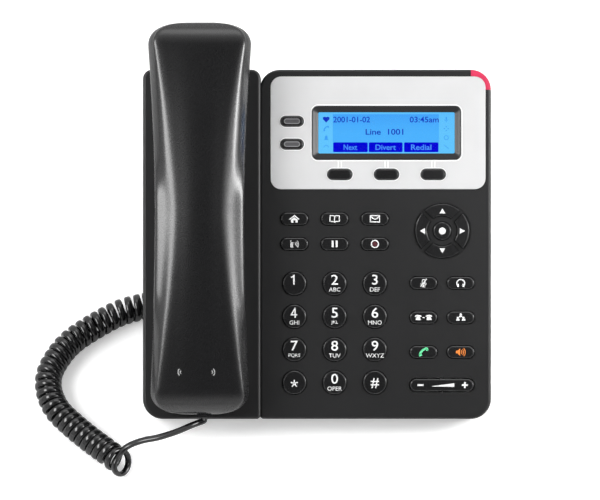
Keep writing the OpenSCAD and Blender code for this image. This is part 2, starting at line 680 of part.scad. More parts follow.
// Front edge of the side webs: it sweeps back from the flange and comes forward again to the foot
web_top = [flange_low[0], flange_low[1]];
web_waist = [stand_y - stand_foot / 2, flange_low[1] - 26];
web_foot = [stand_y - stand_foot, foot_t];
web_edge = [for (i = [0:10]) let (t = i / 10)
    pow(1 - t, 2) * web_top + 2 * t * (1 - t) * (2 * web_waist - (web_top + web_foot) / 2) + t * t * web_foot];
module stand() color(charcoal) {
    face() {
        at(-stand_w / 2, stand_v, stand_top - stand_t) cube([stand_w, stand_l, stand_t]);
        for (h = hooks) at(h[0], stand_v + h[1], stand_top - 0.1) {
            translate([-4, -2, 0]) cube([8, 2, wall + 0.6]);
            translate([-4, -4.2, wall + 0.3]) cube([8, 4.2, 1.2]);
        }
    }
    difference() {
        translate([-stand_w / 2, stand_y - stand_t, foot_t]) cube([stand_w, stand_t, flange_back[1] - foot_t - 3]);
        translate([-window_w / 2 + 4, stand_y - stand_t - 1, window_z]) cube([window_w - 8, stand_t + 2, window_h]);
        translate([-window_w / 2, stand_y - stand_t - 1, window_z + 4]) cube([window_w, stand_t + 2, window_h - 8]);
        for (x = [-1, 1], z = [4, window_h - 4]) translate([x * (window_w / 2 - 4), stand_y - stand_t / 2, window_z + z])
            rotate([90, 0, 0]) cylinder(r = 4, h = stand_t + 2, center = true);
    }
    translate([-stand_w / 2, stand_y - stand_foot, foot_t]) cube([stand_w, stand_foot, stand_t]);
    for (x = [-stand_w / 2, stand_w / 2 - stand_t]) translate([x, 0, 0]) rotate([90, 0, 90])
        linear_extrude(stand_t) polygon(concat([[stand_y, foot_t], [stand_y, flange_back[1] - 2],
            [flange_front[0] + 0.5, flange_front[1] - 0.5]], web_edge));
}

module rubber_feet() color("#3b3b3d") {
    heel_y = desk(0, floor_w)[0];
    for (x = [-base_x + 22, base_x - 44]) translate([x, heel_y - 1.6, 0]) cube([22, 8, foot_t]);
    for (x = [-stand_w / 2 + 6, stand_w / 2 - 24]) translate([x, stand_y - stand_foot + 5, 0]) cube([18, 16, foot_t]);
}

module hanger_tab() color(charcoal) face() at(handset_u, tab_v, tab_foot + seat) {
    translate([-tab_w / 2, -tab_t / 2, 0]) cube([tab_w, tab_t, column_rise - tab_foot + 1.2]);
    translate([-3.5, 1, column_rise - tab_foot]) cube([7, 2.4, 1.2]);
}

hook_travel = 3.2;
module hook_switch() color("#d8d8d6") face() at(handset_u, hook_v) {
    well_floor = column_rise - well_depth;
    translate([-hook_w / 2, -hook_l / 2, -14]) cube([hook_w, hook_l, 14 + well_floor - lift_gap]);
    translate([-8.5, -4.5, -14]) cube([17, 9, 14 + well_floor - wall - hook_travel - lift_gap]);
}

// The rings joined into a closed solid
module loft(rings) {
    n = len(rings[0]);
    m = len(rings);
    polyhedron(points = [for (ring = rings) for (p = ring) p],
        faces = concat([[for (i = [0:n - 1]) i]], [[for (i = [n - 1:-1:0]) (m - 1) * n + i]],
            [for (j = [0:m - 2]) for (i = [0:n - 1]) let (a = j * n + i, b = j * n + (i + 1) % n)
                each [[a, a + n, b + n], [a, b + n, b]]]));
}

hollow_end = 4.3;
inner_stations = [for (v = stations) if (v > handset_v + 3 && v < handset_end - 3) v];
seam = 0.08;
hollow_open = 1.5;
boss_r = 5;

module handset_hollow(back) intersection() {
    loft([for (v = inner_stations) back
        ? back_ring(v, handset_wall, hollow_open) : front_ring(v, handset_wall, hollow_open)]);
    translate([-ear_w / 2, handset_v + hollow_end, 0]) cube([ear_w, handset_l - 2 * hollow_end, 2 * base_t]);
}

// Slot in the mouth end that the cord's plug goes through
module plug_slot() {
    at(plug_u, handset_v - 3, part_w(handset_v + 6)) translate([-plug_w / 2 - plug_gap, 0, -plug_t / 2 - plug_gap])
        cube([plug_w + 2 * plug_gap, 12, plug_t + 2 * plug_gap]);
}

module handset_back() color("#33343a") face() difference() {
    at(handset_u, 0, seam) loft([for (v = stations) back_ring(v)]);
    at(handset_u, 0, seam) handset_hollow(true);
    plug_slot();
}

module handset_front() color(charcoal) face() difference() {
    union() {
        at(handset_u, 0, -seam) loft([for (v = stations) front_ring(v)]);
        for (boss = [[ear_v, ear_boss_l], [mouth_v, mouth_boss_l]]) difference() {
            at(handset_u, boss[0], boss_base) tile(boss_w, boss[1], boss_r, end_rise + 2.2 - boss_base);
            at(handset_u, boss[0], boss_base + handset_wall)
                tile(boss_w - 2 * handset_wall, boss[1] - 2 * handset_wall, boss_r - handset_wall, base_t);
        }
    }
    difference() {
        at(handset_u, 0, -seam) handset_hollow(false);
        for (boss = [[ear_v, ear_boss_l], [mouth_v, mouth_boss_l]]) difference() {
            at(handset_u, boss[0], 0) tile(boss_w, boss[1], boss_r, end_rise + 2.2);
            at(handset_u, boss[0], -1)
                tile(boss_w - 2 * handset_wall, boss[1] - 2 * handset_wall, boss_r - handset_wall, base_t);
        }
    }
    for (boss = [[ear_v, ear_boss_l], [mouth_v, mouth_boss_l]]) at(handset_u, boss[0], 0)
        tile(boss_w - 2 * handset_wall, boss[1] - 2 * handset_wall, boss_r - handset_wall, end_rise + 3);
    at(handset_u, ear_v, boss_base - 1) {
        cylinder(r = 1, h = 4);
        for (i = [0:5]) rotate([0, 0, 60 * i]) at(5, 0) cylinder(r = 1, h = 4);
    }
    at(handset_u, mouth_v, boss_base - 1) cylinder(r = 1, h = 4);
    plug_slot();
}

module earpiece() color("#8b8d90") face() at(handset_u, ear_v, boss_base + handset_wall + seat)
    rotate_extrude() polygon([[0, 0], [14, 0], [14, 2.5], [12, 2.5], [12, 6.5], [0, 6.5]]);

mic_level = boss_base + handset_wall + seat;
module mic_board() color("#1f6b3a") face() {
    at(handset_u, mouth_v, mic_level + 3) tile(26, 24, 1, 1.6);
    at(handset_u, mouth_v, mic_level) cylinder(r = 3, h = 3.1);
    level = part_w(handset_v + 6);
    half_t = plug_t / 2 + 1.2;
    at(plug_u, handset_v + 4.6) {
        difference() {
            translate([-plug_w / 2 - 1.5, 0, level - half_t]) cube([plug_w + 3, 10.5, 2 * half_t]);
            translate([-plug_w / 2 - plug_gap, -1, level - plug_t / 2 - plug_gap])
                cube([plug_w + 2 * plug_gap, 8, plug_t + 2 * plug_gap]);
        }
        translate([-plug_w / 2 - 1.5, 6, mic_level + 4]) cube([plug_w + 3, 4.5, level - half_t - mic_level - 3.5]);
    }
}

// A modular plug with its latch, its cable end at the origin and its nose along +Y
module modular_plug(l) {
    translate([-plug_w / 2, 0, -plug_t / 2]) cube([plug_w, l, plug_t - 1.2]);
    translate([-plug_w / 2, l - 5, -plug_t / 2]) cube([plug_w, 5, plug_t]);
    translate([-1.5, 0.8, plug_t / 2 - 1.3]) cube([3, l - 1, 1]);
}

module handset_plug() color("#d9dde0") face()
    at(plug_u, handset_v - plug_out, part_w(handset_v + 6)) modular_plug(plug_l);

module base_plug() color("#d9dde0") face() at(jack_u, jack_v, floor_w - base_plug_out) rotate([90, 0, 0])
    modular_plug(plug_l);

// Points of a smooth curve through the given points, with n steps in each stretch
function curve(p, n) = concat([for (i = [0:len(p) - 2]) for (j = [0:n - 1]) let (t = j / n,
    a = p[max(i - 1, 0)], b = p[i], c = p[i + 1], d = p[min(i + 2, len(p) - 1)])
    0.5 * (2 * b + (c - a) * t + (2 * a - 5 * b + 4 * c - d) * t * t + (3 * b - a - 3 * c + d) * t * t * t)],
    [p[len(p) - 1]]);
function unit(v) = v / norm(v);
function heading(p, i) = unit(p[min(i + 1, len(p) - 1)] - p[max(i - 1, 0)]);

// A round tube along the points, with its rings turned about a side direction that it never meets
module tube(p, r, sides, up) {
    loft([for (i = [0:len(p) - 1]) let (t = heading(p, i), a = unit(cross(t, up)), b = cross(t, a))
        [for (k = [0:sides - 1]) p[i] + r * (cos(360 * k / sides) * a + sin(360 * k / sides) * b)]]);
}

module cord_coil() color("#1b1c1f")
    tube(curve([for (p = coil_route) [p[0], p[1], coil_z]], 3), coil_d / 2, 12, [0, 0, 1]);
module cord_handset_tail() color("#1b1c1f") tube(curve(handset_tail, 2), cord_d / 2, 8, [0, -0.9, 0.4]);
module cord_base_tail() color("#1b1c1f") tube(curve(base_tail, 2), cord_d / 2, 8, [1, 0.2, -0.3]);

// The keys, each in its own place
module dial_key(i) color(key_black) face() key_body(dial_keys[i], key_rise);
module upper_key(i) color(key_black) face() key_body(upper_keys[i], key_rise);
module call_key(i) color(key_black) face() key_body(call_keys[i], key_rise);
module soft_key(i) color(key_black) face() key_body(soft_keys[i], plate_proud + key_rise);
module line_key(i) color("#3c3e42") face() key_body(line_keys[i], plate_proud + key_rise);
module nav_key(i) color(key_black) face() arrow_key(arrow_turns[i]);
module nav_ok() color(key_black) face() key_body([nav_u, nav_v, 2 * ok_r, 2 * ok_r], key_rise);

module volume_rocker() color(key_black) face() at(rocker_u, rocker_v) {
    at(0, 0, -3) pill(rocker_w, rocker_l, key_rise + 3, key_round);
    translate([-2, -rocker_l / 2 + 0.3, axle_w]) cube([4, rocker_l - 0.6, 1.2]);
    at(0, 0, axle_w) rotate([90, 0, 0]) cylinder(r = axle_r, h = axle_l, center = true);
    for (side = [-1, 1]) at(side * (rocker_w / 2 - 5), 0, key_foot) cylinder(r = stem_r, h = -key_foot - 2.9);
}

top_shell();
bottom_shell();
face_plate();
screen_lens();
lcd_module();
message_light();
main_board();
keypad_mat();
loudspeaker();
modular_jacks();
power_jack();
housing_screws();
stand();
rubber_feet();
hanger_tab();
hook_switch();
handset_back();
handset_front();
earpiece();
mic_board();
handset_plug();
base_plug();
cord_coil();
cord_handset_tail();
cord_base_tail();
volume_rocker();
dial_key(9);  // key_1
dial_key(10);  // key_2
dial_key(11);  // key_3
dial_key(6);  // key_4
dial_key(7);  // key_5
dial_key(8);  // key_6
dial_key(3);  // key_7
dial_key(4);  // key_8
dial_key(5);  // key_9
dial_key(0);  // key_star
dial_key(1);  // key_0
dial_key(2);  // key_hash
line_key(1);  // line_key_1
line_key(0);  // line_key_2
soft_key(0);  // soft_key_1
soft_key(1);  // soft_key_2
soft_key(2);  // soft_key_3
upper_key(3);  // home_key
upper_key(4);  // phonebook_key
upper_key(5);  // message_key
upper_key(0);  // intercom_key
upper_key(1);  // hold_key
upper_key(2);  // record_key
nav_key(0);  // nav_up
nav_key(1);  // nav_down
nav_key(2);  // nav_left
nav_key(3);  // nav_right
nav_ok();
call_key(4);  // mute_key
call_key(5);  // headset_key
call_key(2);  // transfer_key
call_key(3);  // conference_key
call_key(0);  // send_key
call_key(1);  // speaker_key
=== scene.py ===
"""Looks of a desk telephone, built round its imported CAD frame."""
import math

import bpy
from mathutils import Matrix, Vector


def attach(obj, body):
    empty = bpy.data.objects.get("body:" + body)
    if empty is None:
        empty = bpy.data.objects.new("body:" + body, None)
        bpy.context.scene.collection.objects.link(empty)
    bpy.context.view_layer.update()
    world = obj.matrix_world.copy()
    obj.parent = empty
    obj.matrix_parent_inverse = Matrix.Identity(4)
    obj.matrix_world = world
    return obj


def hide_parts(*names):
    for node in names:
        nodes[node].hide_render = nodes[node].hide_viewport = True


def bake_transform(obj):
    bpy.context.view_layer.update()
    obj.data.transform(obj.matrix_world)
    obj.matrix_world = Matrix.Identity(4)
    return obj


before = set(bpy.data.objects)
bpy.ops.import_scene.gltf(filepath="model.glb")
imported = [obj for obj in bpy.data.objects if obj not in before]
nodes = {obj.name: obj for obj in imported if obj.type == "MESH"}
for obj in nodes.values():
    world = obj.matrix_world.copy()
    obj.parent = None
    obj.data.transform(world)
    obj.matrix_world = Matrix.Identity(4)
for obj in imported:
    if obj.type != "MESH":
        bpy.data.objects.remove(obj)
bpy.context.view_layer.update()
scene = bpy.context.scene
MM = 0.001
UP = Vector((0, 0, 1))

# The face frame in millimetres: u runs right, v from the front edge to the back, w out of the key panel.
# Its origin is the middle of the base's front edge, in the plane of the key panel, as part.scad works it out.
TILT = math.radians(30)
FACE_ORIGIN = (0, -84.3051, 22.4808)
FACE = Matrix.Scale(MM, 4) @ Matrix.Translation(FACE_ORIGIN) @ Matrix.Rotation(TILT, 4, "X")
NORMAL = Vector((0, -math.sin(TILT), math.cos(TILT)))
TO_BACK = Vector((0, math.cos(TILT), math.sin(TILT)))


TO_FACE = FACE.inverted()


def on_face(u, v, w=0.0):
    return FACE @ Vector((u, v, w))


def face_box(node):
    """The lowest and the highest u, v and w of a CAD node at rest."""
    points = [TO_FACE @ p.co for p in nodes[node].data.vertices]
    return [[pick(p[axis] for p in points) for axis in range(3)] for pick in (min, max)]


def middle_of(node):
    """The place on the face over which a CAD node lies."""
    low, high = face_box(node)
    return (low[0] + high[0]) / 2, (low[1] + high[1]) / 2


def top_of(node):
    return face_box(node)[1][2]


# ---------------------------------------------------------------- camera
# The photograph looks square at the face, from far away
VIEW_WIDTH = 0.3181
VIEW_MIDDLE = (-9.01, 89.6)
DISTANCE = 5.0
SENSOR = 36
camera = bpy.data.objects.new("camera", bpy.data.cameras.new("camera"))
scene.collection.objects.link(camera)
camera.data.sensor_width = SENSOR
camera.data.lens = SENSOR * DISTANCE / VIEW_WIDTH
camera.data.clip_end = 50
camera.rotation_euler = (TILT, 0, 0)
camera.location = on_face(*VIEW_MIDDLE) + DISTANCE * NORMAL
scene.camera = camera


# ---------------------------------------------------------------- meshes
def add_object(name, data):
    obj = bpy.data.objects.new(name, data)
    scene.collection.objects.link(obj)
    return obj


def mesh_of(obj):
    """The object's mesh as its modifiers leave it."""
    return bpy.data.meshes.new_from_object(obj.evaluated_get(bpy.context.evaluated_depsgraph_get()))


def bevelled(obj, width):
    modifier = obj.modifiers.new("edges", "BEVEL")
    modifier.width = width
    modifier.segments = 3
    modifier.limit_method = "ANGLE"
    modifier.angle_limit = math.radians(50)
    mesh = mesh_of(obj)
    obj.modifiers.clear()
    obj.data = mesh


def placed(obj, body):
    """Lets the object ride on a body, where it has one."""
    if body:
        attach(obj, body)
    return obj


def piece(name, points, faces, material, body, slot, space=FACE, bevel=0.0, angle=35):
    """A solid or a surface of these points, smooth but for the edges sharper than the angle."""
    mesh = bpy.data.meshes.new(name)
    mesh.from_pydata([Vector(p) for p in points], [], faces)
    mesh.validate()
    obj = add_object(name, mesh)
    if bevel:
        bevelled(obj, bevel)
    obj.data.transform(space)
    for polygon in obj.data.polygons:
        polygon.use_smooth = True
    obj.data.set_sharp_from_angle(angle=math.radians(angle))
    obj.data.materials.append(material)
    return placed(obj, body)


def spline(a, b, c, d, t):
    """A point at share t of the way from b to c, on the smooth curve through these four."""
    return 0.5 * (2 * b + (c - a) * t + (2 * a - 5 * b + 4 * c - d) * t * t
                  + (3 * b - a - 3 * c + d) * t ** 3)


def through(points, steps):
    """Points on a smooth curve from the second of these to the last but one, so many to each stretch."""
    return [spline(a, b, c, d, i / steps)
            for a, b, c, d in zip(points, points[1:], points[2:], points[3:]) for i in range(steps)]


def skin(count, rows, ends=True):
    """The faces between rows of so many points round, and those that close the first and last row."""
    faces = []
    for row in range(0, (rows - 1) * count, count):
        for i in range(count):
            a, b = row + i, row + (i + 1) % count
            faces.append([a, b, b + count, a + count])
    if ends:
        faces += [list(range(count))[::-1], list(range((rows - 1) * count, rows * count))]
    return faces


def arc(cx, cy, r, a0, a1, n):
    """Points round a middle from one angle to another, in degrees, in n steps."""
    return [(cx + r * math.cos(math.radians(a0 + (a1 - a0) * i / n)),
             cy + r * math.sin(math.radians(a0 + (a1 - a0) * i / n))) for i in range(n + 1)]


def disc(cx, cy, r, n=24):
    return arc(cx, cy, r, 0, 360, n)[:-1]


def bar(x0, y0, x1, y1):
    return [(x0, y0), (x1, y0), (x1, y1), (x0, y1)]


def rounded(w, l, r, cx=0.0, cy=0.0, n=8):
    """Outline of a rectangle with rounded corners."""
    x, y = w / 2 - r, l / 2 - r
    return [p for a, sx, sy in ((0, 1, 1), (90, -1, 1), (180, -1, -1), (270, 1, -1))
            for p in arc(cx + sx * x, cy + sy * y, r, a, a + 90, n)]


def pill(w, l):
    return rounded(w, l, min(w, l) / 2 - 1e-4, n=14)


def stroke(line, width):
    """The outline of an open line drawn with a pen of this width."""
    left, right = [], []
    for i, (x, y) in enumerate(line):
        ax, ay = line[max(i - 1, 0)]
        bx, by = line[min(i + 1, len(line) - 1)]
        run = math.hypot(bx - ax, by - ay)
        nx, ny = -(by - ay) / run * width / 2, (bx - ax) / run * width / 2
        left.append((x + nx, y + ny))
        right.append((x - nx, y - ny))
    return right + left[::-1]


def prism(outline, w0, w1):
    return [(x, y, w) for w in (w0, w1) for x, y in outline], skin(len(outline), 2)


def terraced(steps):
    """A surface through outlines of as many points, from the outermost in, each at its own height."""
    points = [(x, y, w) for outline, w in steps for x, y in outline]
    return points, skin(len(steps[0][0]), len(steps), ends=False)


def band(outer, inner, w_outer, w_inner, depth):
    """A solid ring between two outlines of as many points, each at its own height."""
    steps = [(outer, w_outer), (inner, w_inner), (inner, w_inner - depth), (outer, w_outer - depth)]
    points, _ = terraced(steps)
    return points, [[i % len(points) for i in face] for face in skin(len(outer), len(steps) + 1, ends=False)]


def ring(cx, cy, r, width, w0, w1, n):
    return band(disc(cx, cy, r + width / 2, n), disc(cx, cy, r - width / 2, n), w1, w1, w1 - w0)


def joined(solids):
    points, faces = [], []
    for p, f in solids:
        faces += [[i + len(points) for i in face] for face in f]
        points += p
    return points, faces


def moved(solid, du, dv):
    return [(x + du, y + dv, z) for x, y, z in solid[0]], solid[1]


# ---------------------------------------------------------------- materials
# Scale of the cloudy change of colour, and the share by which gloss varies
CLOUDS = 45.0
GLOSS_VARIES = 0.14


def shader(name, color, roughness=0.5, metallic=0.0, **sockets):
    """A material whose sockets that are the same all over are set on the shader itself."""
    material = bpy.data.materials.new(name)
    material.use_nodes = True
    tree = material.node_tree
    bsdf = tree.nodes["Principled BSDF"]
    bsdf.inputs["Base Color"].default_value = (*color, 1)
    bsdf.inputs["Roughness"].default_value = roughness
    bsdf.inputs["Metallic"].default_value = metallic
    for key, value in sockets.items():
        bsdf.inputs[key.replace("_", " ")].default_value = value
    return material, tree, bsdf


def object_place(tree):
    return tree.nodes.new("ShaderNodeTexCoord").outputs["Object"]


def noise(tree, scale, detail=3.0):
    texture = tree.nodes.new("ShaderNodeTexNoise")
    texture.inputs["Scale"].default_value = scale
    texture.inputs["Detail"].default_value = detail
    tree.links.new(object_place(tree), texture.inputs["Vector"])
    return texture.outputs["Fac"]


def ramp(tree, fac, low, high, start=0.35, end=0.65):
    node = tree.nodes.new("ShaderNodeValToRGB")
    for element, place, color in zip(node.color_ramp.elements, (start, end), (low, high)):
        element.position = place
        element.color = (*color, 1)
    tree.links.new(fac, node.inputs["Fac"])
    return node.outputs["Color"]


def spread(tree, fac, low, high):
    node = tree.nodes.new("ShaderNodeMapRange")
    node.inputs["To Min"].default_value = low
    node.inputs["To Max"].default_value = high
    tree.links.new(fac, node.inputs["Value"])
    return node.outputs["Result"]


def bump(tree, bsdf, fac, depth):
    node = tree.nodes.new("ShaderNodeBump")
    node.inputs["Distance"].default_value = depth
    node.inputs["Strength"].default_value = 1.0
    tree.links.new(fac, node.inputs["Height"])
    tree.links.new(node.outputs["Normal"], bsdf.inputs["Normal"])


def math_node(tree, operation, a, b):
    node = tree.nodes.new("ShaderNodeMath")
    node.operation = operation
    for value, socket in zip((a, b), node.inputs):
        if isinstance(value, float):
            socket.default_value = value
        else:
            tree.links.new(value, socket)
    return node.outputs[0]


def moulded(name, color, roughness, grain, depth, vary=0.12, metallic=0.0, **sockets):
    """Moulded plastic, rubber or metal: grain of this depth, and colour and gloss that vary a little."""
    material, tree, bsdf = shader(name, color, roughness, metallic, **sockets)
    low = tuple(c * (1 - vary) for c in color)
    high = tuple(min(c * (1 + vary), 1) for c in color)
    tree.links.new(ramp(tree, noise(tree, CLOUDS, 4.0), low, high), bsdf.inputs["Base Color"])
    fine = noise(tree, grain, 2.0)
    gloss = spread(tree, fine, roughness * (1 - GLOSS_VARIES), roughness * (1 + GLOSS_VARIES))
    tree.links.new(gloss, bsdf.inputs["Roughness"])
    bump(tree, bsdf, fine, depth)
    return material


def board_material():
    """Green laminate with a net of pale tracks."""
    material, tree, bsdf = shader("board_laminate", (0.02, 0.16, 0.06), 0.35)
    cell = tree.nodes.new("ShaderNodeTexVoronoi")
    cell.feature = "DISTANCE_TO_EDGE"
    cell.inputs["Scale"].default_value = 260
    tree.links.new(object_place(tree), cell.inputs["Vector"])
    tracks = ramp(tree, cell.outputs["Distance"], (0.03, 0.22, 0.09), (0.02, 0.14, 0.055), 0.03, 0.08)
    tree.links.new(tracks, bsdf.inputs["Base Color"])
    bump(tree, bsdf, cell.outputs["Distance"], 0.00001)
    return material


def lamp_material():
    """Red lens that is lit faintly from inside."""
    material, tree, bsdf = shader("lamp_red", (0.56, 0.03, 0.085), 0.5, Specular_IOR_Level=0.3,
                                  Emission_Color=(0.6, 0.02, 0.08, 1), Emission_Strength=0.12)
    cloud = ramp(tree, noise(tree, 160), (0.53, 0.026, 0.078), (0.60, 0.034, 0.095))
    tree.links.new(cloud, bsdf.inputs["Base Color"])
    bump(tree, bsdf, noise(tree, 1500), 0.000004)
    return material


def window_material():
    """The clear window over the display."""
    material, tree, bsdf = shader("window_acrylic", (0.95, 0.97, 1.0), 0.03, Transmission_Weight=1.0, IOR=1.2,
                                  Specular_IOR_Level=0.1)
    tree.links.new(spread(tree, noise(tree, 900), 0.02, 0.05), bsdf.inputs["Roughness"])
    return material


BLACK = (0.0055, 0.0055, 0.006)
housing = moulded("housing_plastic", BLACK, 0.42, 1900, 0.00003)
housing_low = moulded("lower_plastic", (0.008, 0.008, 0.0085), 0.5, 1900, 0.00003)
handset_plastic = moulded("handset_plastic", BLACK, 0.27, 2600, 0.000008, Specular_IOR_Level=0.72)
key_plastic = moulded("key_plastic", (0.0085, 0.0085, 0.009), 0.24, 2600, 0.000008, Specular_IOR_Level=0.65)
silver = moulded("plate_silver", (0.65, 0.65, 0.655), 0.4, 1500, 0.000004, 0.02, 0.1)
ink = moulded("legend_ink", (0.84, 0.84, 0.84), 0.5, 3000, 0.000003, 0.03)
ink_green = moulded("legend_green", (0.13, 0.70, 0.33), 0.5, 3000, 0.000003, 0.03)
ink_orange = moulded("legend_orange", (0.83, 0.23, 0.03), 0.5, 3000, 0.000003, 0.05)
ink_red = moulded("legend_red", (0.07, 0.006, 0.012), 0.5, 3000, 0.000003, 0.03)
ink_grey = moulded("legend_grey", (0.55, 0.55, 0.55), 0.5, 3000, 0.000003, 0.05)
# A lighter copy of the plate's silver: painted highlight on the rolled edges round the key holes and the
# display; the ticks are drawn in it too
highlight_and_tick_silver = moulded("highlight_and_tick_silver", (0.96, 0.96, 0.96), 0.35, 1500, 0.000002, 0.02)
bezel_black = moulded("bezel_plastic", (0.012, 0.012, 0.013), 0.32, 2400, 0.000006, Specular_IOR_Level=0.4)
lens_grey = moulded("lamp_lens", (0.085, 0.085, 0.09), 0.25, 2400, 0.000004)
ring_grey = moulded("key_ring", (0.24, 0.24, 0.245), 0.35, 2400, 0.000004)
rubber = moulded("foot_rubber", (0.03, 0.03, 0.032), 0.8, 1200, 0.00005)
silicone = moulded("mat_silicone", (0.55, 0.55, 0.53), 0.6, 1200, 0.00001)
steel = moulded("screw_steel", (0.55, 0.55, 0.56), 0.3, 2400, 0.000004, 0.05, 1.0)
switch_white = moulded("switch_plastic", (0.60, 0.60, 0.58), 0.45, 2400, 0.000006)
plug_black = moulded("plug_plastic", (0.014, 0.014, 0.015), 0.25, 2400, 0.000004)
cord_vinyl = moulded("cord_vinyl", (0.006, 0.006, 0.0065), 0.15, 2200, 0.000004, Specular_IOR_Level=0.6)
jack_black = moulded("jack_plastic", (0.02, 0.02, 0.022), 0.4, 2400, 0.000006)
speaker_metal = moulded("speaker_metal", (0.35, 0.35, 0.36), 0.4, 2400, 0.000006, 0.1, 0.8)
board_green = board_material()
lamp_red = lamp_material()
window = window_material()

# The CAD nodes with each material; all the others are keys
CAD_MATERIALS = {
    housing: ("top_shell", "hanger_tab"), housing_low: ("bottom_shell", "stand"),
    handset_plastic: ("handset_back", "handset_front"), silver: ("face_plate",), window: ("screen_lens",),
    bezel_black: ("lcd_module",), lamp_red: ("message_light",), board_green: ("main_board", "mic_board"),
    silicone: ("keypad_mat",), speaker_metal: ("loudspeaker", "earpiece"),
    jack_black: ("modular_jacks", "power_jack"), steel: ("housing_screws",), rubber: ("rubber_feet",),
    switch_white: ("hook_switch",), plug_black: ("handset_plug", "base_plug"),
    cord_vinyl: ("cord_coil", "cord_handset_tail", "cord_base_tail"),
}
NODE_MATERIAL = {name: material for material, names in CAD_MATERIALS.items() for name in names}
for name, obj in nodes.items():
    obj.data.materials.clear()
    obj.data.materials.append(NODE_MATERIAL.get(name, key_plastic))

# ---------------------------------------------------------------- cord
# The cord is an oval of this width and thickness; in the coil its flat side faces out
CORD_W, CORD_T = 3.8, 2.7
CORD_SIDES = 14
# Power of its outline: 1 is an ellipse, and less is flatter at the sides
FLATNESS = 0.78
COIL_D = 14.6
COIL_Z = 7.35
COIL_ROUTE = [(-105.2, -101.3), (-111.6, -95.7), (-120.5, -88.3), (-129.7, -79.8), (-138.2, -70.3),
              (-142.6, -59.6), (-142.8, -49.2), (-138.6, -39), (-131.3, -29), (-119.2, -19.5),
              (-105.4, -11.1), (-92.3, -6.9), (-80, -4.1), (-68, -4.1), (-57, -6.5)]
HANDSET_TAIL = [(-59.6, -90.8, 35.1), (-59.9, -92, 34.5), (-62.5, -92.9, 34.1), (-67, -93.6, 31.8),
                (-74.5, -94.3, 26.6), (-84, -94.8, 21.4), (-93, -94.8, 17.6), (-101.6, -96.6, 14.6)]
# This tail sags up to 7 mm from the CAD's route, so that it leaves the coil without a kink
BASE_TAIL = [(-44, -19.1, 21.5), (-44, -17.5, 18.7), (-44.2, -15.2, 14.2), (-45.6, -13.9, 9.2),
             (-49.2, -13.2, 4.9), (-54.2, -11.6, 2.4)]
# Height at which the handset's tail meets the coil's first turn
MEET_Z = 13.1
TURNS = 39
TURN_POINTS = 24
# How much closer the coil is wound at the handset's end than on average
CROWD = 0.16
# How far the coil's last turns lean open towards the handset's tail, and over how many turns
LAST_LEAN = math.radians(43)
LEAN_TURNS = 2.4
# The part of the winding between its two tails
FIRST, LAST = 5, -17
# Steps between each two points that the coil's route and a tail go through
ROUTE_STEPS, TAIL_STEPS = 12, 6


def curve_through(points, steps):
    """Points on a smooth curve through all of these, with so many steps between each two."""
    points = [Vector(p) for p in points]
    return through([2 * points[0] - points[1], *points, 2 * points[-1] - points[-2]], steps) + [points[-1]]


def ahead_of(path, i):
    """The direction in which a line runs at its point i."""
    return (path[min(i + 1, len(path) - 1)] - path[max(i - 1, 0)]).normalized()


def squared(axis, ahead):
    """The direction nearest to axis that is square to the one ahead."""
    return (axis - axis.dot(ahead) * ahead).normalized()


def spaced(points, count, crowd):
    """The same line as count points, closer at its start by this share and wider at its end."""
    run = [0.0]
    for a, b in zip(points, points[1:]):
        run.append(run[-1] + (b - a).length)
    out, j = [], 0
    for i in range(count):
        share = i / (count - 1)
        want = run[-1] * share * (1 - crowd * (1 - share))
        while j < len(run) - 2 and run[j + 1] < want:
            j += 1
        step = (want - run[j]) / max(run[j + 1] - run[j], 1e-9)
        out.append(points[j].lerp(points[j + 1], min(max(step, 0), 1)))
    return out


def carried(path, axis):
    """This direction taken along a line without turning about it."""
    out = []
    for i in range(len(path)):
        axis = squared(axis, ahead_of(path, i))
        out.append(axis)
    return out


def flattened(x):
    """A cosine or sine, moved so that a circle of them has flatter sides."""
    return math.copysign(abs(x) ** FLATNESS, x)


def tube(path, axes):
    """The cord along a line, wide in the direction of each point's axis."""
    points = []
    for i, (p, axis) in enumerate(zip(path, axes)):
        ahead = ahead_of(path, i)
        side = squared(axis, ahead)
        up = side.cross(ahead)
        for k in range(CORD_SIDES):
            a = 2 * math.pi * k / CORD_SIDES
            points.append(p + CORD_W / 2 * flattened(math.cos(a)) * side
                          + CORD_T / 2 * flattened(math.sin(a)) * up)
    return points, skin(CORD_SIDES, len(path))


def coil_line():
    """The winding round the coil's route, and the direction of its axis at each point."""
    count = TURNS * TURN_POINTS + 1
    route = curve_through([(x, y, COIL_Z) for x, y in COIL_ROUTE], ROUTE_STEPS)
    route = spaced(route, count, CROWD)
    radius = (COIL_D - CORD_T) / 2
    out, axes = [], []
    for i, p in enumerate(route):
        ahead = ahead_of(route, i)
        side = ahead.cross(UP)
        angle = 2 * math.pi * i / TURN_POINTS + math.pi / 2
        lean = LAST_LEAN * max(1 - i / (LEAN_TURNS * TURN_POINTS), 0)
        rise = math.cos(lean) * UP + math.sin(lean) * ahead
        out.append(p - radius * math.sin(lean) * ahead
                   + radius * (math.cos(angle) * side + math.sin(angle) * rise))
        axes.append(math.cos(lean) * ahead - math.sin(lean) * UP)
    return out, axes


coil, coil_axes = coil_line()
meeting = HANDSET_TAIL[-1][:2] + (MEET_Z,)
head = curve_through([*HANDSET_TAIL[:-1], meeting, coil[FIRST - 3], coil[FIRST - 1]], TAIL_STEPS)
tail = curve_through([coil[LAST], coil[LAST + 2], *BASE_TAIL[::-1]], TAIL_STEPS)
line = head + coil[FIRST:LAST] + tail
axes = carried(head[::-1], coil_axes[FIRST])[::-1] + coil_axes[FIRST:LAST] + carried(tail, coil_axes[LAST])
cord = piece("cord", *tube(line, axes), cord_vinyl, None, "cord", Matrix.Scale(MM, 4), angle=60)
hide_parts("cord_coil", "cord_handset_tail", "cord_base_tail")
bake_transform(cord)

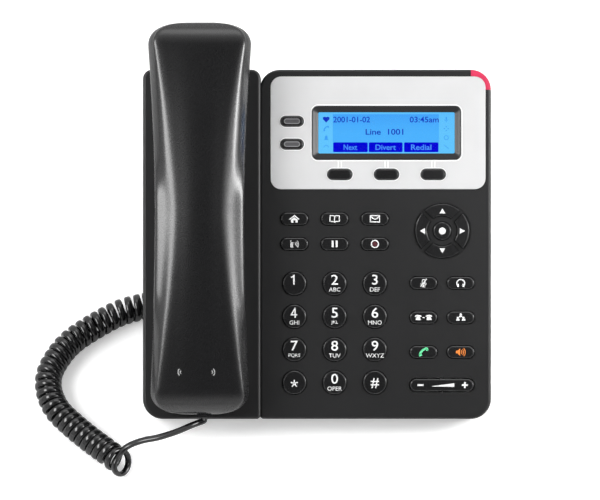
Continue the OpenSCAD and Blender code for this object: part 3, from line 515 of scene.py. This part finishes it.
# ---------------------------------------------------------------- handset
# Middle line, mouth end and length on the face, and where the grip is narrowest
HANDSET_U, HANDSET_V, HANDSET_L = -62.05, 2.6, 207.3
HANDSET_END = HANDSET_V + HANDSET_L
GRIP_V = 109.0
GRIP_W, EAR_W, MOUTH_W = 47.2, 56.4, 53.0
# Power by which the handset widens from its grip to its ends
FLARE = 1.7
# The inner face: its height at the grip and at the ends, the stretch that is the grip, the lift at the ear's
# end, and the lengths over which the height changes
GRIP_RISE, END_RISE = 15.0, 5.0
GRIP_SPAN, GRIP_EASE = (42, 142), 26
EAR_LIFT, EAR_FROM, EAR_EASE = 3, 186, 20
# The back: its height over the inner face at the grip, and how much lower it is at the ends
GRIP_T, END_DROP = 16.0, 6.0
# The share of the thickness at which the two shells meet, and the gap between them
PARTING = 0.45
SEAM = 0.08
# The back's side wall as insets and shares of its height, the depth of the band over it, and the crown as
# shares of its half width and depths under its top
WALL = ((0, 0), (0.2, 0.25), (0.9, 0.44))
BAND_DEPTH = 3.3
CROWN = ((1, 1.4), (0.66, 0.62), (0.33, 0.14), (0, 0))
# The crown's half width and that of the band's outer edge, as shares of the handset's: the share at the grip,
# how much it grows to the ends, and the power of its growth; the band is never narrower than BAND_LEAST
CROWN_SPREAD, BAND_SPREAD = (0.57, 0.34, 1.35), (0.77, 0.17, 1.2)
BAND_LEAST = 0.8
# How far from an end it is rounded, and the powers of that rounding along it, across it and upwards
END_REACH = 13.0
END_POWER, END_X_POWER, END_Z_POWER = 2.2, 0.31, 0.45
END_RINGS, MIDDLE_RINGS, PROFILE_STEPS = 16, 84, 4


def smooth(t):
    t = min(max(t, 0), 1)
    return t * t * (3 - 2 * t)


def half_width(v):
    end, reach = (EAR_W, HANDSET_END - GRIP_V) if v > GRIP_V else (MOUTH_W, GRIP_V - HANDSET_V)
    return GRIP_W / 2 + (end - GRIP_W) / 2 * (abs(v - GRIP_V) / reach) ** FLARE


def inner_w(v):
    grip = smooth((v - GRIP_SPAN[0]) / GRIP_EASE) * smooth((GRIP_SPAN[1] - v) / GRIP_EASE)
    return END_RISE + (GRIP_RISE - END_RISE) * grip + EAR_LIFT * smooth((v - EAR_FROM) / EAR_EASE)


def from_grip(v):
    """How far a place lies from the grip, as a share of half the handset's length."""
    return abs(v - GRIP_V) / (HANDSET_L / 2)


def back_w(v):
    return GRIP_RISE + GRIP_T - END_DROP * from_grip(v) ** 2


def part_w(v):
    return inner_w(v) + PARTING * (back_w(v) - inner_w(v))


def end_share(d, power):
    """The share of its width or height that the outline has left at this distance from an end."""
    return 1.0 if d >= END_REACH else max(1 - (1 - d / END_REACH) ** END_POWER, 0) ** power


def share_at(v, spread):
    """A share of the half width that grows from the grip to the ends."""
    grip, growth, power = spread
    return grip + growth * from_grip(v) ** power


def back_half(v):
    """Half the outline of the back at v, with a crown of the same depth along the whole handset."""
    h, hw = back_w(v) - part_w(v), half_width(v)
    crown = hw * share_at(v, CROWN_SPREAD)
    edge = max(hw * share_at(v, BAND_SPREAD), crown + BAND_LEAST)
    wall = [(hw - inset, share * h) for inset, share in WALL]
    return wall + [(edge, h - BAND_DEPTH)] + [(share * crown, h - depth) for share, depth in CROWN]


def smooth_profile(half):
    """The half outline as a smooth line, square to the parting and level where it meets its mirror image."""
    half = [Vector((x, y, 0)) for x, y in half]
    below, beyond = Vector((half[0].x, -half[1].y, 0)), Vector((-half[-2].x, half[-2].y, 0))
    line = through([below, *half, beyond], PROFILE_STEPS)
    return [(max(p.x, 0), max(p.y, 0)) for p in line] + [tuple(half[-1].xy)]


def back_shell():
    """The back's outline in rings along the handset, close together at its rounded ends."""
    reach = [END_REACH * (i / END_RINGS) ** 2 + 0.1 for i in range(END_RINGS)]
    first, last = HANDSET_V + END_REACH, HANDSET_END - END_REACH
    stations = [HANDSET_V + d for d in reach]
    stations += [first + (last - first) * (i + 0.5) / MIDDLE_RINGS for i in range(MIDDLE_RINGS)]
    stations += [HANDSET_END - d for d in reach[::-1]]
    points = []
    for v in stations:
        d = min(v - HANDSET_V, HANDSET_END - v)
        kx, kz = end_share(d, END_X_POWER), end_share(d, END_Z_POWER)
        half = [(x * kx, y * kz) for x, y in smooth_profile(back_half(v))]
        points += [(HANDSET_U + x, v, part_w(v) + SEAM + y) for x, y in half]
        points += [(HANDSET_U - x, v, part_w(v) + SEAM + y) for x, y in half[-2::-1]]
    return points, skin(len(points) // len(stations), len(stations))


back = piece("handset_back_shell", *back_shell(), handset_plastic, "handset", "handset_shell", angle=42)
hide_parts("handset_back")

# ---------------------------------------------------------------- legends
# How far print stands over what it is on, and how far it reaches into it
PRINT = 0.035
PRINT_ROOT = 0.02
KEY_TOP = top_of("key_1")
# The two pairs of sound waves: the middle between them, how far each pair lies from it, how far behind that
# its arcs have their centre, their radii, pen and half angle, and how deep they reach into the back
SOUND_MIDDLE = (-1.6, 25.2)
SOUND_SPREAD = 8.6
SOUND_FOOT = 1.2
SOUND_RADII = (1.1, 2.3)
SOUND_PEN = 0.42
SOUND_ANGLE = 50
SOUND_ROOT = 0.05


def back_level(x, v):
    """Height of the handset's back at this distance from its middle line."""
    profile = smooth_profile(back_half(v))
    for (xa, ya), (xb, yb) in zip(profile, profile[1:]):
        if xb <= abs(x) <= xa:
            return part_w(v) + SEAM + ya + (yb - ya) * (xa - abs(x)) / max(xa - xb, 1e-6)
    return back_w(v)


def arc_bar(cx, cy, r, width, a0, a1, w0, w1):
    """A bent bar, all in four-sided faces, so that it can follow a curved surface."""
    edges = list(zip(arc(cx, cy, r - width / 2, a0, a1, 8), arc(cx, cy, r + width / 2, a0, a1, 8)))
    points = [(x, y, w) for inner, outer in edges
              for (x, y), w in ((inner, w0), (outer, w0), (outer, w1), (inner, w1))]
    return points, skin(4, len(edges))


def sound_mark(name, side):
    """Arcs like sound waves, a generic mark on the handset's mouth end; side is -1 left and 1 right."""
    facing = 90 - 90 * side
    arcs = joined([arc_bar(-side * SOUND_FOOT, 0, r, SOUND_PEN, facing - SOUND_ANGLE, facing + SOUND_ANGLE,
                           -SOUND_ROOT, PRINT) for r in SOUND_RADII])
    points, faces = moved(arcs, SOUND_MIDDLE[0] + side * SOUND_SPREAD, SOUND_MIDDLE[1])
    on_back = [(HANDSET_U + x, v, back_level(x, v) + w) for x, v, w in points]
    piece(name, on_back, faces, ink_grey, "handset", None, angle=20)


def drawn(shapes, rings, w0, w1, sides=32):
    """One mesh of these outlines and of these rings, each a middle, a radius and a pen's width."""
    return joined([prism(s, w0, w1) for s in shapes] + [ring(*r, w0, w1, sides) for r in rings])


def legend(name, shapes, material, body, u, v, rings=()):
    """Flat print of these outlines on a key top."""
    points, faces = moved(drawn(shapes, rings, KEY_TOP - PRINT_ROOT, KEY_TOP + PRINT), u, v)
    piece(name, points, faces, material, body, None, angle=20)


def lettering(name, text, height, material, body, u, v, top=KEY_TOP, weight=0.0, squeeze=1.0):
    """Print in the plain built-in face, centred on u, v, with capitals of this height in millimetres."""
    data = bpy.data.curves.new(name, "FONT")
    data.body = text
    data.align_x = "CENTER"
    data.size = 1.0
    data.offset = weight
    data.extrude = 0.01
    data.resolution_u = 4
    obj = add_object(name, data)
    bpy.context.view_layer.update()
    mesh = mesh_of(obj)
    bpy.data.objects.remove(obj)
    xs, ys = [p.co.x for p in mesh.vertices], [p.co.y for p in mesh.vertices]
    size = height / (max(ys) - min(ys))
    cx, cy = (max(xs) + min(xs)) / 2, (max(ys) + min(ys)) / 2
    for p in mesh.vertices:
        level = PRINT if p.co.z > 0 else -PRINT_ROOT
        p.co = ((p.co.x - cx) * size * squeeze + u, (p.co.y - cy) * size + v, top + level)
    mesh.transform(FACE)
    mesh.materials.clear()
    mesh.materials.append(material)
    return placed(add_object(name, mesh), body)


sound_mark("print_sound_left", -1)
sound_mark("print_sound_right", 1)

# The dial keys, and the letters under their figures
DIAL = "123456789*0#"
LETTERS = {"2": "ABC", "3": "DEF", "4": "GHI", "5": "JKL", "6": "MNO", "7": "PQRS", "8": "TUV", "9": "WXYZ",
           "0": "OPER"}
SIGNS = {"*": "star", "#": "hash"}
FIGURE_H, LETTER_H = 5.3, 2.15
FIGURE_RISE, LETTER_DROP, STAR_DROP, HASH_DROP, DRAWN_LEFT = 2.0, 3.2, 0.5, 0.3, 0.4
# Figures drawn one by one, which the built-in face has in a form that clots or has no flag
DRAWN = {
    "1": [[(-0.2, -2.65), (0.55, -2.65), (0.55, 2.65), (-0.05, 2.65), (-0.45, 1.95), (-1.4, 1.5),
           (-1.4, 0.85), (-0.2, 1.35)]],
    "4": [bar(0.45, -2.65, 1.15, 2.65), bar(-1.55, -1.4, 1.85, -0.75),
          stroke([(0.75, 2.4), (-1.25, -1.05)], 0.6)],
}
STAR_ARM, STAR_PEN = 2.0, 0.62
STAR = [stroke([(0, 0), (STAR_ARM * math.cos(a), STAR_ARM * math.sin(a))], STAR_PEN)
        for a in (math.radians(90 + 72 * arm) for arm in range(5))]
for figure in DIAL:
    key = "key_" + SIGNS.get(figure, figure)
    name = "print_" + SIGNS.get(figure, figure)
    u, v = middle_of(key)
    if figure == "*":
        legend(name, STAR, ink, key, u, v - STAR_DROP)
    elif figure == "#":
        lettering(name, figure, FIGURE_H, ink, key, u, v - HASH_DROP, weight=0.008)
    elif figure in DRAWN:
        legend(name, DRAWN[figure], ink, key, u - DRAWN_LEFT, v + FIGURE_RISE)
    else:
        lettering(name, figure, FIGURE_H, ink, key, u, v + FIGURE_RISE, weight=0.006, squeeze=1.08)
    if figure in LETTERS:
        word = LETTERS[figure]
        lettering("print_" + word, word, LETTER_H, ink, key, u, v - LETTER_DROP, squeeze=1.04)


def handset_icon(scale=1.0):
    """A receiver seen from the side, lying from lower left to upper right."""
    spine = [(-2.0, -1.5), (-1.5, -0.2), (-0.6, 0.9), (0.6, 1.7), (1.9, 2.0)]
    mouth = [(-2.45, -0.9), (-2.3, -2.2), (-1.7, -2.35), (-0.7, -1.75), (-0.9, -1.1), (-1.6, -0.7)]
    ear = [(1.0, 1.2), (1.6, 0.55), (2.35, 0.9), (2.5, 1.6), (2.2, 2.4), (1.3, 2.2)]
    return [[(x * scale, y * scale) for x, y in shape] for shape in (stroke(spine, 1.1), mouth, ear)]


def desk_phone(cx):
    """A small telephone seen from the front."""
    cradle = [(cx - 1.8, 0.55), (cx - 1.5, 1.1), (cx - 0.6, 1.4), (cx + 0.6, 1.4), (cx + 1.5, 1.1),
              (cx + 1.8, 0.55), (cx + 1.2, 0.35), (cx + 0.9, 0.65), (cx - 0.9, 0.65), (cx - 1.2, 0.35)]
    return [cradle, [(cx - 0.8, 0.55), (cx + 0.8, 0.55), (cx + 1.45, -1.35), (cx - 1.45, -1.35)]]


def person(cx, cy):
    shoulders = [(-1.0, -0.75), (1.0, -0.75), (0.75, 0.1), (0, 0.3), (-0.75, 0.1)]
    return [disc(cx, cy + 0.75, 0.62), [(cx + x, cy + y) for x, y in shoulders]]


def strokes(width, *lines):
    return [stroke(line, width) for line in lines]


HORN = [(-2.5, -0.75), (-1.7, -0.75), (-0.3, -2.05), (-0.3, 2.05), (-1.7, 0.75), (-2.5, 0.75)]
ICONS = {
    "home_key": [[(-2.8, -0.1), (-2.3, -0.6), (0, 1.3), (2.3, -0.6), (2.8, -0.1), (0, 2.0)],
                 [(-1.75, -2.0), (-0.5, -2.0), (-0.5, -0.75), (0.5, -0.75), (0.5, -2.0), (1.75, -2.0),
                  (1.75, -0.5), (0, 0.85), (-1.75, -0.5)]],
    "phonebook_key": strokes(
        0.5, [(0, -1.45), (0, 1.25)], [(0, 1.25), (-0.7, 1.65), (-2.6, 1.65)],
        [(-2.45, 1.65), (-2.45, -1.55)], [(-2.6, -1.4), (-0.8, -1.4), (0, -1.8)],
        [(0, -1.8), (0.8, -1.4), (2.6, -1.4)], [(2.45, -1.55), (2.45, 1.65)],
        [(2.6, 1.65), (0.7, 1.65), (0, 1.25)]),
    "message_key": strokes(
        0.55, [(-2.7, -1.65), (2.7, -1.65)], [(-2.7, 1.65), (2.7, 1.65)], [(-2.45, -1.8), (-2.45, 1.8)],
        [(2.45, -1.8), (2.45, 1.8)], [(-2.3, 1.3), (-1.2, 0.3), (0, -0.25), (1.2, 0.3), (2.3, 1.3)]),
    "intercom_key": [rounded(1.5, 2.9, 0.3, -1.4, -0.5), bar(-2.1, 0.5, -1.6, 2.0)] + strokes(
        0.42, *(arc(-0.5, 0, r, -40, 40, 6) for r in (1.1, 1.9, 2.7))),
    "hold_key": [bar(-1.6, -1.75, -0.55, 1.75), bar(0.55, -1.75, 1.6, 1.75)],
    "mute_key": strokes(0.4, arc(0, 1.2, 0.7, 0, 180, 8), arc(0, 0.2, 0.7, 180, 360, 8)) + [
        bar(-0.9, 0.2, -0.5, 1.2), bar(0.5, 0.2, 0.9, 1.2), stroke(arc(0, 0.2, 1.5, 190, 350, 8), 0.36),
        bar(-0.22, -1.9, 0.22, -0.9), bar(-0.9, -2.2, 0.9, -1.8), stroke([(-1.6, -1.9), (1.6, 2.2)], 0.45)],
    "headset_key": [stroke(arc(0, -0.2, 2.1, -28, 208, 18), 0.58), rounded(1.0, 1.7, 0.35, -1.45, -1.25),
                    rounded(1.0, 1.7, 0.35, 1.45, -1.25)],
    "transfer_key": desk_phone(-2.85) + desk_phone(2.85) + [bar(-0.5, -0.25, 0.5, 0.25)],
    "conference_key": person(0, 0.95) + person(-1.5, -0.9) + person(1.5, -0.9),
    "send_key": handset_icon(),
    "speaker_key": [HORN] + strokes(0.42, *(arc(-0.7, 0, r, -42, 42, 8) for r in (1.3, 2.2, 3.1))),
    "nav_up": [[(-1.55, 9.3), (1.55, 9.3), (0, 12.0)]],
    "nav_down": [[(1.5, -9.2), (-1.5, -9.2), (0, -11.7)]],
    "nav_left": [[(-9.2, -1.55), (-9.2, 1.55), (-12.0, 0)]],
    "nav_right": [[(9.2, 1.55), (9.2, -1.55), (12.0, 0)]],
    "nav_ok": [disc(0, 0, 1.85, 32)],
}
ICON_INK = {"send_key": ink_green, "speaker_key": ink_orange, "intercom_key": ink_grey}
for key, shapes in ICONS.items():
    # The arrows are drawn from the middle of the ring that their keys form
    place = middle_of("nav_ok" if key.startswith("nav") else key)
    legend("icon_" + key, shapes, ICON_INK.get(key, ink), key, *place)
legend("icon_record_ring", [], ink, "record_key", *middle_of("record_key"), [(0, 0, 1.9, 0.62)])
legend("icon_record_dot", [disc(0, 0, 1.25)], ink_red, "record_key", *middle_of("record_key"))

# A minus, a rising wedge and a plus
VOLUME = [bar(-13.0, -0.45, -9.8, 0.45), [(-5.2, -0.75), (6.5, -0.9), (6.5, 0.95), (-5.2, -0.5)],
          bar(10.5, -0.48, 13.7, 0.48), bar(11.62, -1.6, 12.58, -0.48), bar(11.62, 0.48, 12.58, 1.6)]
legend("icon_volume", VOLUME, ink, "rocker", *middle_of("volume_rocker"))

# ---------------------------------------------------------------- silver plate
PLATE_TOP = top_of("face_plate")
# Width of the flange that a key has under the plate
FLANGE = 0.8
# The line keys, the lower one first. The CAD counts from the upper one, so each lamp rides on the other
# key: an open fault.
LINE_KEYS = ("line_key_2", "line_key_1")
# The rolled edge of a key's hole, drawn lighter than the plate as a painted highlight, from the outside in:
# distance from the key and height over the plate
ROLLED_EDGE = ((0.75, -0.01), (0.62, 0.06), (0.46, 0.12), (0.36, 0.05), (0.32, -0.3))
# The two short lines between a soft key and the display
TICKS = (bar(-1.1, -1.9, -0.5, 1.9), bar(0.5, -1.9, 1.1, 1.9))
TICK_V, TICK_ROOT, TICK_RISE, TICK_BEVEL = 134.8, 0.05, 0.16, 0.12


def hole_rim(name, key):
    """The rolled edge of the hole that a key has in the plate, drawn lighter than the plate as a painted
    highlight.
    """
    low, high = face_box(key)
    w, l = (high[axis] - low[axis] - 2 * FLANGE for axis in (0, 1))
    rim = terraced([(pill(w + 2 * d, l + 2 * d), PLATE_TOP + h) for d, h in ROLLED_EDGE])
    piece(name, *moved(rim, *middle_of(key)), highlight_and_tick_silver, "base", "plate", angle=60)


for number in (1, 2, 3):
    key = f"soft_key_{number}"
    hole_rim(f"soft_rim_{number}", key)
    # The ticks are drawn in the lighter silver of the painted highlights
    ticks = joined([prism(t, PLATE_TOP - TICK_ROOT, PLATE_TOP + TICK_RISE) for t in TICKS])
    ticks = moved(ticks, middle_of(key)[0], TICK_V)
    piece(f"soft_tick_{number}", *ticks, highlight_and_tick_silver, "base", "plate", bevel=TICK_BEVEL)
for number, key in enumerate(LINE_KEYS, 1):
    hole_rim(f"line_rim_{number}", key)

# ---------------------------------------------------------------- display
DISPLAY = middle_of("lcd_module")
# Level of the lit panel, a hair over the module, its size and how far its glow reaches past that
LCD_W = top_of("lcd_module") + 0.005
LCD_SIZE = (72.0, 22.2)
LCD_MARGIN = 0.6
# Heights over the desk between which its colour changes
LCD_TOP_Z, LCD_BOTTOM_Z = 109.0, 95.0
# The field that the pixels fill: its sides, and how far it lies inside the panel's lower and upper edge
FIELD_U, FIELD_INSET = (8.4, 64.7), (0.9, 1.2)
# Levels of what lies on the panel, and the thickness of its areas and signs
FIELD_LEVEL, TAB_LEVEL, TEXT_LEVEL, WORD_LEVEL = 0.015, 0.03, 0.04, 0.05
LCD_SHEET = 0.01


def glow(name, top, bottom=None):
    """A lit display colour, which changes from the display's top to its bottom where two are given."""
    material, tree, bsdf = shader(name, (0, 0, 0), 0.4, Specular_IOR_Level=0.1, Emission_Strength=1.0)
    split = tree.nodes.new("ShaderNodeSeparateXYZ")
    tree.links.new(object_place(tree), split.inputs["Vector"])
    shade = tree.nodes.new("ShaderNodeMapRange")
    shade.inputs["From Min"].default_value = LCD_TOP_Z * MM
    shade.inputs["From Max"].default_value = LCD_BOTTOM_Z * MM
    tree.links.new(split.outputs["Z"], shade.inputs["Value"])
    color = ramp(tree, shade.outputs["Result"], top, bottom or top, 0.0, 1.0)
    tree.links.new(color, bsdf.inputs["Emission Color"])
    return material


lcd_blue = glow("lcd_backlight", (0.035, 0.265, 0.90), (0.075, 0.46, 1.0))
lcd_side = glow("lcd_side_light", (0.10, 0.49, 1.0), (0.13, 0.58, 1.0))
lcd_dark = glow("lcd_segments", (0.003, 0.03, 0.55))
lcd_tab = glow("lcd_tabs", (0.0, 0.0, 0.68))
lcd_pale = glow("lcd_tab_text", (0.07, 0.33, 0.95))
lcd_faint = glow("lcd_faint", (0.05, 0.36, 0.93))


def on_display(name, solid, material):
    piece(name, *solid, material, "base", "display", angle=20)


def lcd_area(name, outline, level, material):
    on_display(name, prism(outline, LCD_W + level, LCD_W + level + LCD_SHEET), material)


def lcd_text(name, text, u, v, height, width, material=lcd_dark, level=TEXT_LEVEL):
    """Lettering on the display that is stretched to this width."""
    obj = lettering(name, text, height, material, "base", u, v, LCD_W + level - PRINT, weight=0.013)
    xs = [p.co.x for p in obj.data.vertices]
    share = width * MM / (max(xs) - min(xs))
    for p in obj.data.vertices:
        p.co.x = u * MM + (p.co.x - u * MM) * share


def lcd_icon(name, shapes, place, material=lcd_faint, rings=()):
    signs = drawn(shapes, rings, LCD_W + TAB_LEVEL, LCD_W + TAB_LEVEL + LCD_SHEET, 20)
    on_display(name, moved(signs, *place), material)


left, low = DISPLAY[0] - LCD_SIZE[0] / 2, DISPLAY[1] - LCD_SIZE[1] / 2
right, high = left + LCD_SIZE[0], low + LCD_SIZE[1]
lit = bar(left - LCD_MARGIN, low - LCD_MARGIN, right + LCD_MARGIN, high + LCD_MARGIN)
field = bar(FIELD_U[0], low + FIELD_INSET[0], FIELD_U[1], high - FIELD_INSET[1])
lcd_area("lcd_glow", lit, 0.0, lcd_side)
lcd_area("lcd_field", field, FIELD_LEVEL, lcd_blue)

# The tabs over the soft keys: left and right side and word, then their middle, length, corners and lettering
TABS = ((8.6, 26.9, "Next"), (27.5, 45.4, "Divert"), (46.2, 64.4, "Redial"))
TAB_V, TAB_L, TAB_R = 144.1, 5.2, 0.6
TAB_WORD_H, TAB_LETTER_W = 2.9, 1.8
for number, (x0, x1, word) in enumerate(TABS, 1):
    middle = ((x0 + x1) / 2, TAB_V)
    lcd_area(f"lcd_tab_{number}", rounded(x1 - x0, TAB_L, TAB_R, *middle, 4), TAB_LEVEL, lcd_tab)
    lcd_text(f"lcd_word_{number}", word, *middle, TAB_WORD_H, TAB_LETTER_W * len(word), lcd_pale, WORD_LEVEL)

# The other words, each by its middle, height and width
LCD_ROWS = (158.8, 154.0, 149.2, 144.4)
NUMBER_ROW = 152.3
LCD_LETTER_H = 3.1
lcd_text("lcd_date", "2001-01-02", 18.4, LCD_ROWS[0], LCD_LETTER_H, 19.5)
lcd_text("lcd_time", "03:45am", 56.9, LCD_ROWS[0], LCD_LETTER_H, 15.4)
lcd_text("lcd_number", "Line  1001", 35.8, NUMBER_ROW, LCD_LETTER_H, 20.0)

# Four small signs down each side, of which one is lit
LEFT_SIGNS = [(4.9, v) for v in LCD_ROWS]
RIGHT_SIGNS = [(68.6, v) for v in LCD_ROWS]
SHIELD = [(-1.7, 1.2), (-0.7, 1.55), (0, 1.2), (0.7, 1.55), (1.7, 1.2), (1.75, 0.2), (0, -1.6), (-1.75, 0.2)]
BELL = [(-1.2, -1.2), (1.2, -1.2), (0.7, -0.4), (0.7, 0.6), (0, 1.3), (-0.7, 0.6), (-0.7, -0.4)]
lcd_icon("lcd_shield", [SHIELD], LEFT_SIGNS[0], lcd_dark)
lcd_icon("lcd_receiver", handset_icon(0.62), LEFT_SIGNS[1])
lcd_icon("lcd_bell", [BELL], LEFT_SIGNS[2])
lcd_icon("lcd_arc", [stroke(arc(0, -0.4, 1.2, 0, 180, 8), 0.35)], LEFT_SIGNS[3])
lcd_icon("lcd_mute", [bar(-0.35, -0.2, 0.35, 1.4), stroke(arc(0, 0.2, 0.9, 190, 350, 6), 0.3),
                      bar(-0.15, -1.4, 0.15, -0.6)], RIGHT_SIGNS[0])
dots = [disc(du, dv, 0.35, 10) for du, dv in ((0, 1), (-1, 0), (1, 0), (0, -1))]
lcd_icon("lcd_dots", dots, RIGHT_SIGNS[1])
lcd_icon("lcd_ring", [], RIGHT_SIGNS[2], rings=[(0, 0, 1.1, 0.35)])
lcd_icon("lcd_slope", [stroke([(-1.2, 1.0), (0, 0), (1.2, -1.0)], 0.35)], RIGHT_SIGNS[3])

# A low bezel round the plate's opening, which slopes down to the window, from the outside in: distance from
# its outer edge, height over the key panel and corner radius
BEZEL_SIZE = (79.2, 28.8)
BEZEL = ((0.0, -0.25, 3.2), (0.05, 0.7, 3.2), (0.3, 1.12, 3.0), (0.7, 1.22, 2.8), (3.35, 0.05, 0.9),
         (3.5, -0.3, 0.7))
# The line round it, drawn lighter than the plate as a painted highlight: distance inside the bezel's edge,
# corner radius and height over the trim's level
RIM_OUTER, RIM_INNER = (-0.65, 3.9, 0.02), (-0.05, 3.3, 0.1)
RIM_DEPTH = 0.3


def round_display(inset, r):
    """Outline round the display, so far inside the bezel's outer edge."""
    return rounded(BEZEL_SIZE[0] - 2 * inset, BEZEL_SIZE[1] - 2 * inset, r, *DISPLAY)


bezel = terraced([(round_display(inset, r), w) for inset, w, r in BEZEL])
piece("display_frame", *bezel, bezel_black, "base", "housing", angle=30)
rim = band(round_display(*RIM_OUTER[:2]), round_display(*RIM_INNER[:2]), PLATE_TOP + RIM_OUTER[2],
           PLATE_TOP + RIM_INNER[2], RIM_DEPTH)
piece("display_rim", *rim, highlight_and_tick_silver, "base", "plate", angle=60)

# ---------------------------------------------------------------- line keys' lamps
# A grey ring, from the outside in: width, length and height over the key's top; and the sunk dark slot in it
LAMP_RING = ((8.6, 2.9, -0.02), (8.4, 2.7, 0.16), (7.9, 2.2, 0.16), (7.6, 1.9, 0.03))
LAMP, LAMP_ROOT, LAMP_RISE = (7.7, 2.0), 0.05, 0.045
LINE_TOP = top_of("line_key_1")
for number, seat in enumerate(LINE_KEYS, 1):
    lamp_ring = terraced([(pill(w, l), LINE_TOP + h) for w, l, h in LAMP_RING])
    slot = prism(pill(*LAMP), LINE_TOP - LAMP_ROOT, LINE_TOP + LAMP_RISE)
    key = f"line_key_{number}"
    piece(f"line_ring_{number}", *moved(lamp_ring, *middle_of(seat)), ring_grey, key, "line_key", angle=60)
    piece(f"line_lamp_{number}", *moved(slot, *middle_of(seat)), lens_grey, key, "line_key", angle=20)

# ---------------------------------------------------------------- light
# The place that the lamps point at
LIT = on_face(-10, 95)


def softbox(name, side, height, distance, width, length, radiance):
    """A lamp seen from the phone at so many degrees right of the face's normal and towards its back edge."""
    a, b = math.radians(side), math.radians(height)
    across = math.cos(a) * NORMAL + math.sin(a) * Vector((1, 0, 0))
    direction = math.cos(b) * across + math.sin(b) * TO_BACK
    data = bpy.data.lights.new(name, "AREA")
    data.energy = radiance * math.pi * width * length
    data.shape = "RECTANGLE"
    data.size = width
    data.size_y = length
    lamp = add_object(name, data)
    lamp.location = LIT + distance * direction
    lamp.rotation_euler = (-direction).to_track_quat("-Z", "Y").to_euler()


softbox("left_softbox", -46, 12, 0.75, 0.56, 0.24, 9.8)
softbox("left_edge", -22, 6, 0.8, 0.13, 0.22, 1.2)
softbox("right_softbox", 52, 8, 0.85, 0.22, 0.33, 20.0)
softbox("right_edge", 69, 8, 0.9, 0.14, 0.38, 6.0)
softbox("right_fill", 32, 3, 0.45, 0.14, 0.3, 2.0)
softbox("top_softbox", 5, 66, 1.6, 1.0, 0.6, 1.6)

WHITE = (1, 1, 1)
# The light that the world gives, and the dark flag in it, whose core and edge are angles from the normal
AMBIENT = (0.27, 0.27, 0.27)
FLAG = (0.04, 0.04, 0.04)
FLAG_CORE, FLAG_EDGE = math.radians(18), math.radians(52)


def color_choice(tree, share, no, yes):
    """The colour no where the share is 0, and the output yes where it is 1."""
    node = tree.nodes.new("ShaderNodeMix")
    node.data_type = "RGBA"
    # Of the node's sockets, 0 is the share, 6 and 7 are the two colours, and output 2 is a colour
    tree.links.new(share, node.inputs[0])
    node.inputs[6].default_value = (*no, 1)
    tree.links.new(yes, node.inputs[7])
    return node.outputs[2]


def world_light():
    """White where the camera, gloss or glass sees it, and grey as light; gloss sees a dark flag too, round
    the direction that the face looks in."""
    world = bpy.data.worlds.new("studio")
    world.use_nodes = True
    tree = world.node_tree
    rays = tree.nodes.new("ShaderNodeLightPath").outputs
    towards = tree.nodes.new("ShaderNodeVectorMath")
    towards.operation = "DOT_PRODUCT"
    towards.inputs[1].default_value = NORMAL
    tree.links.new(tree.nodes.new("ShaderNodeTexCoord").outputs["Generated"], towards.inputs[0])
    flag = ramp(tree, towards.outputs["Value"], WHITE, FLAG, math.cos(FLAG_EDGE), math.cos(FLAG_CORE))
    backdrop = color_choice(tree, rays["Is Glossy Ray"], WHITE, flag)
    seen = math_node(tree, "MAXIMUM", rays["Is Camera Ray"], rays["Is Glossy Ray"])
    seen = math_node(tree, "MAXIMUM", seen, rays["Is Transmission Ray"])
    background = tree.nodes["Background"].inputs
    tree.links.new(color_choice(tree, seen, AMBIENT, backdrop), background["Color"])
    background["Strength"].default_value = 1.0
    return world


scene.world = world_light()
scene.view_settings.view_transform = "Standard"

# ---------------------------------------------------------------- floor
FLOOR_REACH = 3
FLOOR_Z = -0.0002
# What the floor adds to its own colour where the camera sees it
FLOOR_LIFT = 0.42


def floor_material():
    """White paper that the camera sees as nearly white, with the object's soft shadow left on it."""
    material, tree, bsdf = shader("floor_paper", (0.92, 0.92, 0.92), 0.9, Specular_IOR_Level=0.0,
                                  Emission_Color=(1, 1, 1, 1))
    paper = ramp(tree, noise(tree, 3.0), (0.91, 0.91, 0.91), (0.93, 0.93, 0.93))
    tree.links.new(paper, bsdf.inputs["Base Color"])
    camera_ray = tree.nodes.new("ShaderNodeLightPath").outputs["Is Camera Ray"]
    tree.links.new(math_node(tree, "MULTIPLY", camera_ray, FLOOR_LIFT), bsdf.inputs["Emission Strength"])
    return material


floor_corners = [(x, y, FLOOR_Z) for x, y in bar(-FLOOR_REACH, -FLOOR_REACH, FLOOR_REACH, FLOOR_REACH)]
floor = piece("floor", floor_corners, [[0, 1, 2, 3]], floor_material(), None, None, Matrix.Identity(4))
